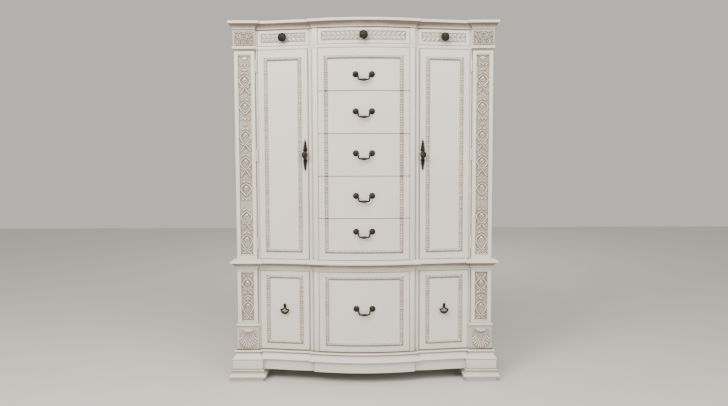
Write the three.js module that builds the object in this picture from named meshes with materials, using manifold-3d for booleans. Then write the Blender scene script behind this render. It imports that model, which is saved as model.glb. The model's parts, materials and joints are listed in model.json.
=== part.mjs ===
// Tall painted armoire: a bow-fronted centre between two ogee-fronted side bays and carved corner pilasters.
// Millimetres, +Z up. X runs to the viewer's right and -Y points out of the front, towards the viewer.
// "forward" is the distance of a point in front of the back plane; plan points are [x, forward].

import * as THREE from 'three';
import { mergeVertices } from 'three/addons/utils/BufferGeometryUtils.js';
import Module from 'manifold-3d';

// ---------------------------------------------------------------- driving dimensions

// Plan of the case, measured from the centre line and from the back plane
const HALF_WIDTH = 689;          // centre line to the outer face of a pilaster
const PILASTER_WIDTH = 109;
const STRIP_WIDTH = 12;          // hinge strip between a pilaster and its door
const BREAK_X = 270.5;           // where the centre breaks forward of the side bays
const CENTRE_OPENING = 244;      // half the width of the centre drawer opening
const BAY_STILE_WIDTH = 25;      // stile beside a door, measured from the break
const FRIEZE_STILE_WIDTH = 14.5; // stile beside a side frieze drawer, measured from the break
const PILASTER_FORWARD = 430;
const PILASTER_RECESS = 13;      // the bay's outer end lies this far behind the pilaster face
const BAY_OGEE = 33;             // how far the bay comes forward from its outer end to the break
const BREAK_STEP = 16;
const PARTITION_INSET = 14.5;    // break to the partition's inner face
const CENTRE_BOW = 30;

// Heights, from the floor up; what is left of the total height is the upper case
const TOTAL_HEIGHT = 1931;
const PAD_HEIGHT = 12;
const FLARE_TOP = 47;
const APRON_BOTTOM = 60;
const BASE_BOTTOM = 117;
const BASE_HEIGHT = 51;
const LOWER_OPENING = 434;
const WAIST_HEIGHT = 62;
const FRIEZE_BOARD_THICKNESS = 16.5;
const FRIEZE_OPENING = 85.5;
const CORNICE_HEIGHT = 44;

// Boards and clearances
const BOARD = 18;
const BACK_THICKNESS = 10;
const POST_THICKNESS = 38;       // front-to-back thickness of a pilaster
const STILE_DEPTH = 34;
const DOOR_THICKNESS = 22;
const TOUCH = 0.3;               // gap left between pieces that touch
const REVEAL = 2;                // gap all round a door or a drawer front
const SLIDE_CLEARANCE = 0.5;     // under a drawer box
const SEAT_OVERLAP = 1;          // how far pieces that are joined run into each other
const DRAWER_COUNT = 5;
const BOX_WALL = 12;
const BOX_BOTTOM = 8;
const BOX_BACK_FORWARD = 24;
const BOX_SIDE_CLEARANCE = 6;    // opening edge to drawer box side
const BOX_TOP_DROP = 22;         // front's top to the box's top
const FRIEZE_BOX_TOP_DROP = 12;
const RUNNER_HEIGHT = 13.5;
const RUNNER_REACH = 16;         // how far a runner reaches under a drawer box
const FRONT_BACKING = 21;        // least thickness of a drawer front

// Applied mouldings and recesses
const FRAME_WIDTH = 20;
const FRAME_PROUD = 4;
const FRAME_INSET = 35;          // opening's side edge to the frame moulding
const UPPER_FRAME_BELOW = 39;    // opening's bottom to the frame moulding
const UPPER_FRAME_ABOVE = 40;
const LOWER_FRAME_BELOW = 34;
const LOWER_FRAME_ABOVE = 22;
const LEAF_RECESS_DEPTH = 3;
const LEAF_RECESS_MARGIN = 18;   // front's side edge to the recess
const LEAF_RECESS_BELOW = 17.5;  // opening's bottom to the recess
const LEAF_RECESS_ABOVE = 17;
const CARVING_WIDTH = 62;
const CARVING_DEPTH = 6;
const UPPER_CARVING_BELOW = 21;  // case's bottom to the carved recess
const UPPER_CARVING_ABOVE = 24;
const LOWER_CARVING_ABOVE = 12;
const FAN_BLOCK_BELOW = 6;       // base top to the fan block
const FAN_BLOCK_HEIGHT = 109;
const FILLET_HEIGHT = 40;        // fan block's top to the carved recess above it

// Hardware
const POST_SPACING = 85;
const ROSETTE_RADIUS = 15;
const POST_HEAD_RADIUS = 5.5;
const BAIL_STANDOFF = 16;        // drawer face to the bail's pivot line
const BAIL_DROP = 28.5;
const BAIL_BEND_DROP = 28.5;     // the drop that the bail's bend is drawn for
const BAIL_END_RADIUS = 2.5;
const BAIL_GRIP_RADIUS = 4;
const BAIL_ABOVE_MIDDLE = [-26, 6, 11, 11, 45];  // pivot line above the middle of each upper drawer front
const LOWER_PULL_RISE = 240;     // base top to the lower centre bail's pivot line
const KNOB_RADIUS = 23;
const KNOB_PROUD = 32;
const DOOR_HANDLE_INSET = 15.5;  // door's inner edge to the middle of its handle
const PLATE_LENGTH = 176;
const PLATE_THICKNESS = 3.5;
const EGG_HALF_WIDTH = 16;
const EGG_HALF_DEPTH = 14;
const EGG_HALF_HEIGHT = 19.5;
const EGG_FORWARD = 34;          // door face to the egg's middle
const HINGE_END_GAP = 48;        // door's end to the end of its hinge
const HINGE_LENGTH = 72;
const HINGE_RADIUS = 4.5;
const HINGE_STANDOFF = 6;        // strip face to the hinge's pin
const DROP_PULL_BELOW = 3;       // the drops' pivots lie this far below the lower bail's
const DROP_STANDOFF = 13;
const DROP_EYE_RADIUS = 3.2;
const DROP_EYE_CLEARANCE = 0.5;  // hook's end to the drop's eye

// Overhangs beyond the case
const FOOT_OVERHANG = 26;
const WAIST_OVERHANG = 33;
const APRON_OVERHANG = 15;
const APRON_THICKNESS = 20;
const FOOT_DEPTH = 140;
const REAR_FOOT_DEPTH = 120;

// ---------------------------------------------------------------- sizes worked out from them

const BASE_TOP = BASE_BOTTOM + BASE_HEIGHT;
const WAIST_BOTTOM = BASE_TOP + LOWER_OPENING;
const WAIST_TOP = WAIST_BOTTOM + WAIST_HEIGHT;
const CORNICE_BOTTOM = TOTAL_HEIGHT - CORNICE_HEIGHT;
const FRIEZE_BOARD_TOP = CORNICE_BOTTOM - FRIEZE_OPENING;
const FRIEZE_BOARD_BOTTOM = FRIEZE_BOARD_TOP - FRIEZE_BOARD_THICKNESS;
const UPPER_FRAME = [WAIST_TOP + UPPER_FRAME_BELOW, FRIEZE_BOARD_BOTTOM - UPPER_FRAME_ABOVE];
const LOWER_FRAME = [BASE_TOP + LOWER_FRAME_BELOW, WAIST_BOTTOM - LOWER_FRAME_ABOVE];
const LEAF_RECESS = [FRIEZE_BOARD_TOP + LEAF_RECESS_BELOW, CORNICE_BOTTOM - LEAF_RECESS_ABOVE];
const UPPER_CARVING = [WAIST_TOP + UPPER_CARVING_BELOW, FRIEZE_BOARD_BOTTOM - UPPER_CARVING_ABOVE];
const FAN_BLOCK_BOTTOM = BASE_TOP + FAN_BLOCK_BELOW;
const FAN_BLOCK_TOP = FAN_BLOCK_BOTTOM + FAN_BLOCK_HEIGHT;
const LOWER_CARVING = [FAN_BLOCK_TOP + FILLET_HEIGHT, WAIST_BOTTOM - LOWER_CARVING_ABOVE];
const DOOR_MIDDLE_Z = (WAIST_TOP + FRIEZE_BOARD_BOTTOM) / 2;
const HINGE_FROM_END = REVEAL + HINGE_END_GAP + HINGE_LENGTH / 2;
const HINGE_Z = [WAIST_TOP + HINGE_FROM_END, DOOR_MIDDLE_Z, FRIEZE_BOARD_BOTTOM - HINGE_FROM_END];
const KNOB_Z = (FRIEZE_BOARD_TOP + CORNICE_BOTTOM) / 2;
const LOWER_BAIL_Z = BASE_TOP + LOWER_PULL_RISE;
const DROP_PULL_Z = LOWER_BAIL_Z - DROP_PULL_BELOW;
const PILASTER_INNER = HALF_WIDTH - PILASTER_WIDTH;
const BAY_OUTER = PILASTER_INNER - STRIP_WIDTH;
const BAY_INNER = BREAK_X + BAY_STILE_WIDTH;
const FRIEZE_INNER = BREAK_X + FRIEZE_STILE_WIDTH;
const BAY_OUTER_FORWARD = PILASTER_FORWARD - PILASTER_RECESS;
const BAY_INNER_FORWARD = BAY_OUTER_FORWARD + BAY_OGEE;
const CENTRE_EDGE_FORWARD = BAY_INNER_FORWARD + BREAK_STEP;
const CENTRE_FORWARD = CENTRE_EDGE_FORWARD + CENTRE_BOW;
const BOW_RADIUS = (BREAK_X ** 2 + CENTRE_BOW ** 2) / (2 * CENTRE_BOW);
const TOTAL_DEPTH = CENTRE_FORWARD + WAIST_OVERHANG;
const POST_BACK = PILASTER_FORWARD - POST_THICKNESS;
const SIDE_INNER = HALF_WIDTH - BOARD;
const BEHIND_BACK = BACK_THICKNESS + TOUCH;
const PARTITION = [BREAK_X - PARTITION_INSET, BREAK_X - PARTITION_INSET + BOARD];
const CARVING_X = HALF_WIDTH - PILASTER_WIDTH / 2;
const CENTRE_BACKING = CENTRE_EDGE_FORWARD - BOARD;
const BAY_BACKING = BAY_OUTER_FORWARD - FRONT_BACKING;
const HINGE_X = PILASTER_INNER - HINGE_RADIUS - 1;
const HINGE_FORWARD = BAY_OUTER_FORWARD + HINGE_STANDOFF;

// Moulding profiles, each a list of [height, overhang] from the bottom up
const CORNICE_PROFILE = [[CORNICE_BOTTOM, 0], [CORNICE_BOTTOM + 6, 1], [CORNICE_BOTTOM + 6, 5],
  [CORNICE_BOTTOM + 19, 13], [TOTAL_HEIGHT - 17, 22], [TOTAL_HEIGHT - 17, 26], [TOTAL_HEIGHT - 15, 27],
  [TOTAL_HEIGHT - 3, 27], [TOTAL_HEIGHT, 25]];
const WAIST_PROFILE = [[WAIST_BOTTOM, 0], [WAIST_BOTTOM + 17, 0], [WAIST_BOTTOM + 17, 6],
  [WAIST_BOTTOM + 32, 14], [WAIST_TOP - 21, 26], [WAIST_TOP - 21, WAIST_OVERHANG - 2],
  [WAIST_TOP - 18, WAIST_OVERHANG], [WAIST_TOP - 3, WAIST_OVERHANG], [WAIST_TOP, WAIST_OVERHANG - 2]];
const BASE_PROFILE = [[BASE_BOTTOM, 28], [BASE_BOTTOM + 5, 30], [BASE_BOTTOM + 14, 21],
  [BASE_BOTTOM + 33, 11], [BASE_TOP - 12, 10], [BASE_TOP - 11, 17], [BASE_TOP - 6, 20],
  [BASE_TOP - 1, 16], [BASE_TOP, 8]];
const FOOT_PROFILE = [[0, 4], [2, 6], [PAD_HEIGHT, 6], [PAD_HEIGHT, 12], [PAD_HEIGHT + 6, 17],
  [PAD_HEIGHT + 13, 18], [FLARE_TOP - 9, 8], [FLARE_TOP, 5], [FLARE_TOP, 0], [BASE_BOTTOM - TOUCH, 0]];
const CAPITAL_PROFILE = [[FRIEZE_BOARD_BOTTOM - 9, 0], [FRIEZE_BOARD_BOTTOM + 2, 4],
  [FRIEZE_BOARD_BOTTOM + 2, 8], [FRIEZE_BOARD_BOTTOM + 17, 8], [FRIEZE_BOARD_BOTTOM + 17, 4],
  [CORNICE_BOTTOM - TOUCH, 4]];
const FAN_BLOCK_PROFILE = [[FAN_BLOCK_BOTTOM, 4], [FAN_BLOCK_TOP, 4], [FAN_BLOCK_TOP + 7, 8],
  [LOWER_CARVING[0] - 11, 8], [LOWER_CARVING[0], 0]];

// ---------------------------------------------------------------- the front's plan curve

// Forward distance of the front at x: a circular bow in the centre, an ogee in each bay, flat pilasters
function frontAt(x) {
  const across = Math.abs(x);
  if (across <= BREAK_X) return CENTRE_FORWARD - BOW_RADIUS + Math.sqrt(BOW_RADIUS ** 2 - across ** 2);
  if (across >= PILASTER_INNER) return PILASTER_FORWARD;
  const along = (across - BREAK_X) / (PILASTER_INNER - BREAK_X);
  return BAY_INNER_FORWARD - BAY_OGEE * (1 - Math.cos(Math.PI * along)) / 2;
}

// Turn about Z that makes a fitting face square out of the front at x
function turnAt(x) {
  const step = 0.5;
  return Math.atan(-(frontAt(x + step) - frontAt(x - step)) / (2 * step));
}

// Points of the front between two x values, moved forward by proud
function frontCurve(x0, x1, steps, proud = 0) {
  const points = [];
  for (let i = 0; i <= steps; i++) {
    const x = x0 + (x1 - x0) * i / steps;
    points.push([x, frontAt(x) + proud]);
  }
  return points;
}

// The whole plan of the case, from the left rear corner along the front to the right rear corner
function casePlan() {
  const nearly = 1e-6;
  const bay = frontCurve(-PILASTER_INNER + nearly, -BREAK_X - nearly, 9);
  const half = [[-HALF_WIDTH, 0], [-HALF_WIDTH, PILASTER_FORWARD], [-PILASTER_INNER, PILASTER_FORWARD],
    ...bay];
  const centre = frontCurve(-BREAK_X, BREAK_X, 14);
  const mirrored = half.map(([x, forward]) => [-x, forward]).reverse();
  return [...half, ...centre, ...mirrored];
}

// The plan grown outwards by an overhang, with mitred corners and the back edge left in place
function grownPlan(overhang) {
  const plan = casePlan();
  const count = plan.length;
  const lines = plan.map(([x, forward], i) => {
    const [nextX, nextForward] = plan[(i + 1) % count];
    const length = Math.hypot(nextX - x, nextForward - forward);
    const normal = [-(nextForward - forward) / length, (nextX - x) / length];
    const reach = i === count - 1 ? 0 : overhang;
    return { normal, distance: normal[0] * x + normal[1] * forward + reach };
  });
  return lines.map((line, i) => {
    const before = lines[(i + count - 1) % count];
    const cross = before.normal[0] * line.normal[1] - before.normal[1] * line.normal[0];
    if (Math.abs(cross) < 1e-4) {
      const [x, forward] = plan[i];
      return [x + overhang * line.normal[0], forward + overhang * line.normal[1]];
    }
    return [
      (before.distance * line.normal[1] - line.distance * before.normal[1]) / cross,
      (line.distance * before.normal[0] - before.distance * line.normal[0]) / cross,
    ];
  });
}

// ---------------------------------------------------------------- solids

const wasm = await Module();
wasm.setup();

const yOf = (forward) => TOTAL_DEPTH / 2 - forward;

function toSolid(geometry) {
  const bare = geometry.clone();
  bare.deleteAttribute('normal');
  bare.deleteAttribute('uv');
  const welded = mergeVertices(bare, 1e-4);
  return new wasm.Manifold(new wasm.Mesh({
    numProp: 3,
    vertProperties: new Float32Array(welded.attributes.position.array),
    triVerts: new Uint32Array(welded.index.array),
  }));
}

function toGeometry(solid) {
  const mesh = solid.getMesh();
  const geometry = new THREE.BufferGeometry();
  geometry.setAttribute('position', new THREE.BufferAttribute(new Float32Array(mesh.vertProperties), 3));
  geometry.setIndex(new THREE.BufferAttribute(new Uint32Array(mesh.triVerts), 1));
  return geometry;
}

const join = (...pieces) => toGeometry(pieces.map(toSolid).reduce((sum, piece) => sum.add(piece)));
const cut = (piece, ...tools) => {
  const rest = tools.map(toSolid).reduce((left, tool) => left.subtract(tool), toSolid(piece));
  return toGeometry(rest);
};
const keep = (piece, tool) => toGeometry(toSolid(piece).intersect(toSolid(tool)));

// Upright prism over a plan
function prism(plan, bottom, top) {
  const shape = new THREE.Shape(plan.map(([x, forward]) => new THREE.Vector2(x, yOf(forward))));
  return new THREE.ExtrudeGeometry(shape, { depth: top - bottom, bevelEnabled: false })
    .translate(0, 0, bottom);
}

// Box from its limits in x, forward and z
const block = ([x0, x1], [forward0, forward1], [bottom, top]) =>
  prism([[x0, forward0], [x1, forward0], [x1, forward1], [x0, forward1]], bottom, top);

// Solid through rings of equal length, which run anticlockwise seen from the end they advance to
function loft(rings, endCap) {
  const count = rings[0].length;
  const positions = rings.flat().flatMap((point) => [point.x, point.y, point.z]);
  const index = [];
  for (let ring = 0; ring + 1 < rings.length; ring++) {
    for (let i = 0; i < count; i++) {
      const next = (i + 1) % count;
      const [a, b] = [ring * count + i, ring * count + next];
      index.push(a, b, b + count, a, b + count, a + count);
    }
  }
  const last = (rings.length - 1) * count;
  for (const [a, b, c] of endCap(rings[0])) index.push(a, b, c);
  for (const [a, b, c] of endCap(rings[rings.length - 1])) index.push(last + a, last + c, last + b);
  const geometry = new THREE.BufferGeometry();
  geometry.setAttribute('position', new THREE.Float32BufferAttribute(positions, 3));
  geometry.setIndex(index);
  return geometry;
}

const fanCap = (ring) => ring.slice(2).map((_, i) => [0, i + 2, i + 1]);
const planCap = (ring) => {
  const outline = ring.map((point) => new THREE.Vector2(point.x, point.y));
  return THREE.ShapeUtils.triangulateShape(outline, [])
    .map(([a, b, c]) => (signedArea(ring, a, b, c) < 0 ? [a, b, c] : [a, c, b]));
};

function signedArea(ring, a, b, c) {
  const [p, q, r] = [ring[a], ring[b], ring[c]];
  return (q.x - p.x) * (r.y - p.y) - (q.y - p.y) * (r.x - p.x);
}

// Slab whose edge follows the plan of the case at each [height, overhang] of a moulding
const mouldedSlab = (profile) => loft(profile.map(([z, overhang]) =>
  grownPlan(overhang).map(([x, forward]) => new THREE.Vector3(x, yOf(forward), z))), planCap);

// Block on a rectangle that grows by each [height, overhang], with its back edge left in place
const mouldedBlock = ([x0, x1], [back, front], profile) => loft(profile.map(([z, overhang]) =>
  [[x0 - overhang, back], [x0 - overhang, front + overhang], [x1 + overhang, front + overhang],
    [x1 + overhang, back]].map(([x, forward]) => new THREE.Vector3(x, yOf(forward), z))), planCap);

// Round bar of changing thickness along points [x, out, z]
function taperedBar(path, radiusAt, steps, sides = 8) {
  const curve = new THREE.CatmullRomCurve3(path.map(([x, out, z]) => new THREE.Vector3(x, -out, z)));
  const binormal = new THREE.Vector3(0, 1, 0);
  const rings = [];
  for (let i = 0; i <= steps; i++) {
    const along = i / steps;
    const tangent = curve.getTangentAt(along);
    const normal = new THREE.Vector3().crossVectors(binormal, tangent).normalize();
    const centre = curve.getPointAt(along);
    rings.push(Array.from({ length: sides }, (_, side) => {
      const angle = 2 * Math.PI * side / sides;
      return centre.clone()
        .addScaledVector(normal, radiusAt(along) * Math.cos(angle))
        .addScaledVector(binormal, radiusAt(along) * Math.sin(angle));
    }));
  }
  return loft(rings, fanCap);
}

// Turned piece from [radius, out] points, its axis pointing out of the front
const turnedOut = (profile, sides) => new THREE.LatheGeometry(
  profile.map(([radius, out]) => new THREE.Vector2(radius, out)), sides).rotateX(Math.PI);

// Turned piece from [radius, z] points, its axis upright
const turnedUp = (profile, sides) => new THREE.LatheGeometry(
  profile.map(([radius, z]) => new THREE.Vector2(radius, z)), sides).rotateX(Math.PI / 2);

// Seats a fitting, modelled facing -Y at the origin, square on the front at x
const seat = (geometry, x, z, proud = 0) =>
  geometry.rotateZ(turnAt(x)).translate(x, yOf(frontAt(x) + proud), z);

// Front board between two x values: curved face, and either a flat back or one parallel to the face
function frontBoard([x0, x1], [bottom, top], steps, backing) {
  const face = frontCurve(x0, x1, steps);
  const back = backing === undefined
    ? frontCurve(x1, x0, steps, -DOOR_THICKNESS)
    : [[x1, backing], [x0, backing]];
  return prism([...face, ...back], bottom, top);
}

// Raised strip that follows the front
function strip([x0, x1], [bottom, top], steps) {
  const face = frontCurve(x0, x1, steps, FRAME_PROUD);
  return prism([...face, ...frontCurve(x1, x0, steps, -SEAT_OVERLAP)], bottom, top);
}

// Applied rectangular moulding, or the part of it that one drawer of a stack carries
function frameStrips([x0, x1], [bottom, top], [clipBottom, clipTop], steps) {
  const low = Math.max(bottom, clipBottom);
  const high = Math.min(top, clipTop);
  const uprights = [[x0, x0 + FRAME_WIDTH], [x1 - FRAME_WIDTH, x1]];
  const strips = uprights.map((across) => strip(across, [low, high], 1));
  if (bottom >= clipBottom) strips.push(strip([x0, x1], [bottom, bottom + FRAME_WIDTH], steps));
  if (top <= clipTop) strips.push(strip([x0, x1], [top - FRAME_WIDTH, top], steps));
  return strips;
}

// Open-topped drawer box
function drawerBox([x0, x1], front, [bottom, top]) {
  const outside = block([x0, x1], [BOX_BACK_FORWARD, front], [bottom, top]);
  const inside = block([x0 + BOX_WALL, x1 - BOX_WALL], [BOX_BACK_FORWARD + BOX_WALL, front - BOX_WALL],
    [bottom + BOX_BOTTOM, top + SEAT_OVERLAP]);
  return cut(outside, inside);
}

const ordered = (side, a, b) => (side < 0 ? [-b, -a] : [a, b]);

// ---------------------------------------------------------------- finishes

const paint = { color: 0xd7d4cb, roughness: 0.5, metalness: 0 };
const rawWood = { color: 0xb08a5e, roughness: 0.7, metalness: 0 };
const bronze = { color: 0x3a2e24, roughness: 0.45, metalness: 0.85 };

const group = new THREE.Group();

function addPart(name, geometry, finish) {
  const mesh = new THREE.Mesh(geometry, new THREE.MeshStandardMaterial({ ...finish }));
  mesh.name = name;
  group.add(mesh);
}

// ---------------------------------------------------------------- case

const backRebate = block([-SIDE_INNER, SIDE_INNER], [-SEAT_OVERLAP, BEHIND_BACK], [0, CORNICE_BOTTOM]);

addPart('cornice', mouldedSlab(CORNICE_PROFILE), paint);
addPart('waist_slab', cut(mouldedSlab(WAIST_PROFILE), backRebate), paint);

// Base moulding with the apron that hangs below it between the front feet
function baseFrame() {
  const ends = PILASTER_INNER - FOOT_OVERHANG - TOUCH;
  const ring = cut(prism(grownPlan(APRON_OVERHANG), APRON_BOTTOM, BASE_BOTTOM + 1),
    prism(grownPlan(APRON_OVERHANG - APRON_THICKNESS), APRON_BOTTOM - 1, BASE_BOTTOM + 2));
  const apron = keep(ring, block([-ends, ends], [POST_BACK, TOTAL_DEPTH], [APRON_BOTTOM, BASE_BOTTOM + 1]));
  return join(cut(mouldedSlab(BASE_PROFILE), backRebate), apron);
}
addPart('base_frame', baseFrame(), paint);

addPart('back_panel', block([-SIDE_INNER + TOUCH, SIDE_INNER - TOUCH], [0, BACK_THICKNESS],
  [BASE_BOTTOM, CORNICE_BOTTOM - TOUCH]), rawWood);

function pilaster(side, [bottom, top], carving, profile) {
  const x = (value) => side * value;
  const post = prism([[x(BAY_OUTER), POST_BACK], [x(BAY_OUTER), frontAt(BAY_OUTER)],
    [x(PILASTER_INNER), BAY_OUTER_FORWARD], [x(PILASTER_INNER), PILASTER_FORWARD],
    [x(HALF_WIDTH), PILASTER_FORWARD], [x(HALF_WIDTH), POST_BACK]], bottom, top);
  const ornament = mouldedBlock(ordered(side, PILASTER_INNER, HALF_WIDTH),
    [BAY_OUTER_FORWARD - STRIP_WIDTH, PILASTER_FORWARD], profile);
  const recess = block(ordered(side, CARVING_X - CARVING_WIDTH / 2, CARVING_X + CARVING_WIDTH / 2),
    [PILASTER_FORWARD - CARVING_DEPTH, PILASTER_FORWARD + SEAT_OVERLAP], carving);
  return cut(join(post, ornament), recess);
}

function upperDivider(side) {
  const stile = dividerPlan(side, CENTRE_OPENING, BAY_INNER);
  const board = prism(stile, WAIST_TOP + TOUCH, FRIEZE_BOARD_BOTTOM - TOUCH);
  const runners = drawerRows.map(([bottom]) => block(
    ordered(side, CENTRE_OPENING - BOX_SIDE_CLEARANCE - RUNNER_REACH, PARTITION[0] + SEAT_OVERLAP),
    [BOX_BACK_FORWARD, CENTRE_EDGE_FORWARD - STILE_DEPTH], [bottom, bottom + RUNNER_HEIGHT]));
  return join(board, ...runners);
}

// Partition board with the stepped front stile that closes the gap between two openings
function dividerPlan(side, inner, outer) {
  const nearly = 1e-3;
  const head = CENTRE_EDGE_FORWARD - STILE_DEPTH;
  const plan = [[inner, head], [inner, frontAt(inner)], [BREAK_X, frontAt(BREAK_X)],
    [BREAK_X, frontAt(BREAK_X + nearly)], [outer, frontAt(outer)], [outer, head],
    [PARTITION[1], head], [PARTITION[1], BEHIND_BACK], [PARTITION[0], BEHIND_BACK], [PARTITION[0], head]];
  return plan.map(([x, forward]) => [side * x, forward]);
}

// [bottom, top] of each upper centre drawer front, from the top drawer down
const rowPitch = (FRIEZE_BOARD_BOTTOM - WAIST_TOP - REVEAL) / DRAWER_COUNT;
const drawerRows = Array.from({ length: DRAWER_COUNT }, (_, i) => {
  const bottom = FRIEZE_BOARD_BOTTOM - (i + 1) * rowPitch;
  return [bottom, bottom + rowPitch - REVEAL];
});

function friezeBoard() {
  const edge = BAY_OUTER - TOUCH;
  const wide = SIDE_INNER - TOUCH;
  const plan = casePlan().filter(([x]) => Math.abs(x) < edge);
  const board = prism([[-wide, BEHIND_BACK], [-wide, POST_BACK - TOUCH], [-edge, POST_BACK - TOUCH],
    [-edge, frontAt(edge)], ...plan, [edge, frontAt(edge)], [edge, POST_BACK - TOUCH],
    [wide, POST_BACK - TOUCH], [wide, BEHIND_BACK]], FRIEZE_BOARD_BOTTOM, FRIEZE_BOARD_TOP);
  const dividers = [-1, 1].map((side) => prism(dividerPlan(side, CENTRE_OPENING, FRIEZE_INNER),
    FRIEZE_BOARD_TOP - SEAT_OVERLAP, CORNICE_BOTTOM - TOUCH));
  return join(board, ...dividers);
}
addPart('frieze_board', friezeBoard(), paint);

for (const [word, side] of [['left', -1], ['right', 1]]) {
  const lower = [BASE_TOP + TOUCH, WAIST_BOTTOM - TOUCH];
  const upper = [WAIST_TOP + TOUCH, CORNICE_BOTTOM - TOUCH];
  const sideX = ordered(side, SIDE_INNER, HALF_WIDTH);
  addPart(`side_lower_${word}`, block(sideX, [0, POST_BACK - TOUCH], lower), paint);
  addPart(`side_upper_${word}`, block(sideX, [0, POST_BACK - TOUCH], upper), paint);
  addPart(`pilaster_lower_${word}`, pilaster(side, lower, LOWER_CARVING, FAN_BLOCK_PROFILE), paint);
  addPart(`pilaster_upper_${word}`, pilaster(side, upper, UPPER_CARVING, CAPITAL_PROFILE), paint);
  addPart(`divider_lower_${word}`, prism(dividerPlan(side, CENTRE_OPENING, BAY_INNER), ...lower), paint);
  addPart(`divider_upper_${word}`, upperDivider(side), paint);

  const shelfBottom = (WAIST_TOP + FRIEZE_BOARD_BOTTOM - BOARD) / 2;
  addPart(`shelf_${word}`, block(ordered(side, PARTITION[1] + TOUCH, SIDE_INNER - TOUCH),
    [BEHIND_BACK, BAY_BACKING - DOOR_THICKNESS / 2], [shelfBottom, shelfBottom + BOARD]), rawWood);

  const footX = ordered(side, PILASTER_INNER - FOOT_OVERHANG, HALF_WIDTH + FOOT_OVERHANG);
  const footFront = PILASTER_FORWARD + FOOT_OVERHANG;
  const frontFoot = mouldedBlock(footX, [footFront - FOOT_DEPTH, footFront], FOOT_PROFILE);
  addPart(`foot_front_${word}`, frontFoot, paint);
  addPart(`foot_rear_${word}`, mouldedBlock(footX, [0, REAR_FOOT_DEPTH], FOOT_PROFILE), paint);
}

// ---------------------------------------------------------------- hardware shapes

// Rosette and post that one end of a bail swings from
const bailPost = () => turnedOut([[0, -2], [ROSETTE_RADIUS, -2], [ROSETTE_RADIUS, 1.5],
  [ROSETTE_RADIUS - 7, 5], [4, 6], [4, BAIL_STANDOFF - 5], [POST_HEAD_RADIUS, BAIL_STANDOFF],
  [0, BAIL_STANDOFF + 5]], 8);

function bail() {
  const end = POST_SPACING / 2 - POST_HEAD_RADIUS - BAIL_END_RADIUS - 1;
  const bend = [[0, 0], [1, 7], [4, 15], [8.5, 22.5], [16, 27]];
  const half = bend.map(([inwards, down]) => [end - inwards, down * BAIL_DROP / BAIL_BEND_DROP]);
  const right = half.map(([x, down]) => [x, 0, -down]);
  const left = half.map(([x, down]) => [-x, 0, -down]).reverse();
  const gain = BAIL_GRIP_RADIUS - BAIL_END_RADIUS;
  const swell = (along) => BAIL_END_RADIUS + gain * Math.sin(Math.PI * along) ** 4;
  return taperedBar([...right, [0, 0, -BAIL_DROP], ...left], swell, 14, 6);
}

const friezeKnob = () => turnedOut([[0, 0], [15, 0], [15, 2.5], [9, 5], [7, 9], [8, 13], [15, 16],
  [KNOB_RADIUS, 21.5], [KNOB_RADIUS - 1.5, 26], [16, 29.5], [0, KNOB_PROUD]], 14);

// Upright outline of a pointed leaf plate, [half width, height share of the half length]
function doorHandle() {
  const half = PLATE_LENGTH / 2;
  const right = [[0, 1], [4, 0.9], [6.5, 0.7], [8.5, 0.45], [6, 0.3], [11.5, 0.16], [9, 0],
    [11.5, -0.16], [6, -0.3], [8.5, -0.45], [6.5, -0.7], [4, -0.9], [0, -1]];
  const left = right.slice(1, -1).map(([x, share]) => [-x, share]).reverse();
  const outline = [...right, ...left].map(([x, share]) => new THREE.Vector2(x, share * half));
  const shape = new THREE.Shape(outline);
  const plate = new THREE.ExtrudeGeometry(shape, { depth: PLATE_THICKNESS, bevelEnabled: false })
    .rotateX(Math.PI / 2);
  const stem = turnedOut([[0, 2], [7, 2], [5, 8], [4.5, 22], [0, 22]], 10);
  const egg = new THREE.SphereGeometry(1, 14, 10).scale(EGG_HALF_WIDTH, EGG_HALF_DEPTH, EGG_HALF_HEIGHT)
    .translate(0, -EGG_FORWARD, 0);
  return join(plate, stem, egg);
}

function hinge() {
  const half = HINGE_LENGTH / 2;
  const tip = [[0, half], [2, half - 1.5], [2.6, half - 4], [1.8, half - 7], [HINGE_RADIUS, half - 9]];
  const foot = tip.map(([radius, z]) => [radius, -z]);
  const barrel = turnedUp([...foot, ...tip.slice().reverse()], 8);
  const leafReach = 3;
  const leaf = new THREE.BoxGeometry(4, HINGE_STANDOFF - TOUCH, 2 * (half - 9) - 2 * leafReach)
    .translate(0, (HINGE_STANDOFF - TOUCH) / 2, 0);
  return join(barrel, leaf);
}

// Pierced drop: two arms from the pivot eye down to a crescent
function pierceDrop() {
  const arm = (side) => taperedBar([[0, 0, 0], [side * 6, 0, -9], [side * 15, 0, -17], [side * 22, 0, -20]],
    () => 1.8, 4, 5);
  const crescent = taperedBar([[-23.5, 0, -17], [-18, 0, -27], [0, 0, -33], [18, 0, -27], [23.5, 0, -17]],
    (along) => 1.2 + 1.8 * Math.sin(Math.PI * along), 10, 5);
  const shoulder = 0.7 * DROP_EYE_RADIUS;
  const eye = turnedOut([[0, -DROP_EYE_RADIUS], [shoulder, -shoulder], [DROP_EYE_RADIUS, 0],
    [shoulder, shoulder], [0, DROP_EYE_RADIUS]], 8);
  return join(eye, arm(1), arm(-1), crescent);
}

// Leaf-shaped plate and hook that the drop hangs in front of
function dropPlate() {
  const outline = [[0, 13], [4, 8], [4, 4], [9, 0], [4, -5], [0, -8], [-4, -5], [-9, 0], [-4, 4], [-4, 8]]
    .map(([x, z]) => new THREE.Vector2(x, z));
  const plate = new THREE.ExtrudeGeometry(new THREE.Shape(outline), { depth: 5, bevelEnabled: false })
    .rotateX(Math.PI / 2).translate(0, 2, 0);
  const hookEnd = DROP_STANDOFF - DROP_EYE_RADIUS - DROP_EYE_CLEARANCE;
  const hook = turnedOut([[0, 1], [3, 1], [2.2, hookEnd], [0, hookEnd]], 8);
  return join(plate, hook);
}

// ---------------------------------------------------------------- drawers

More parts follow.
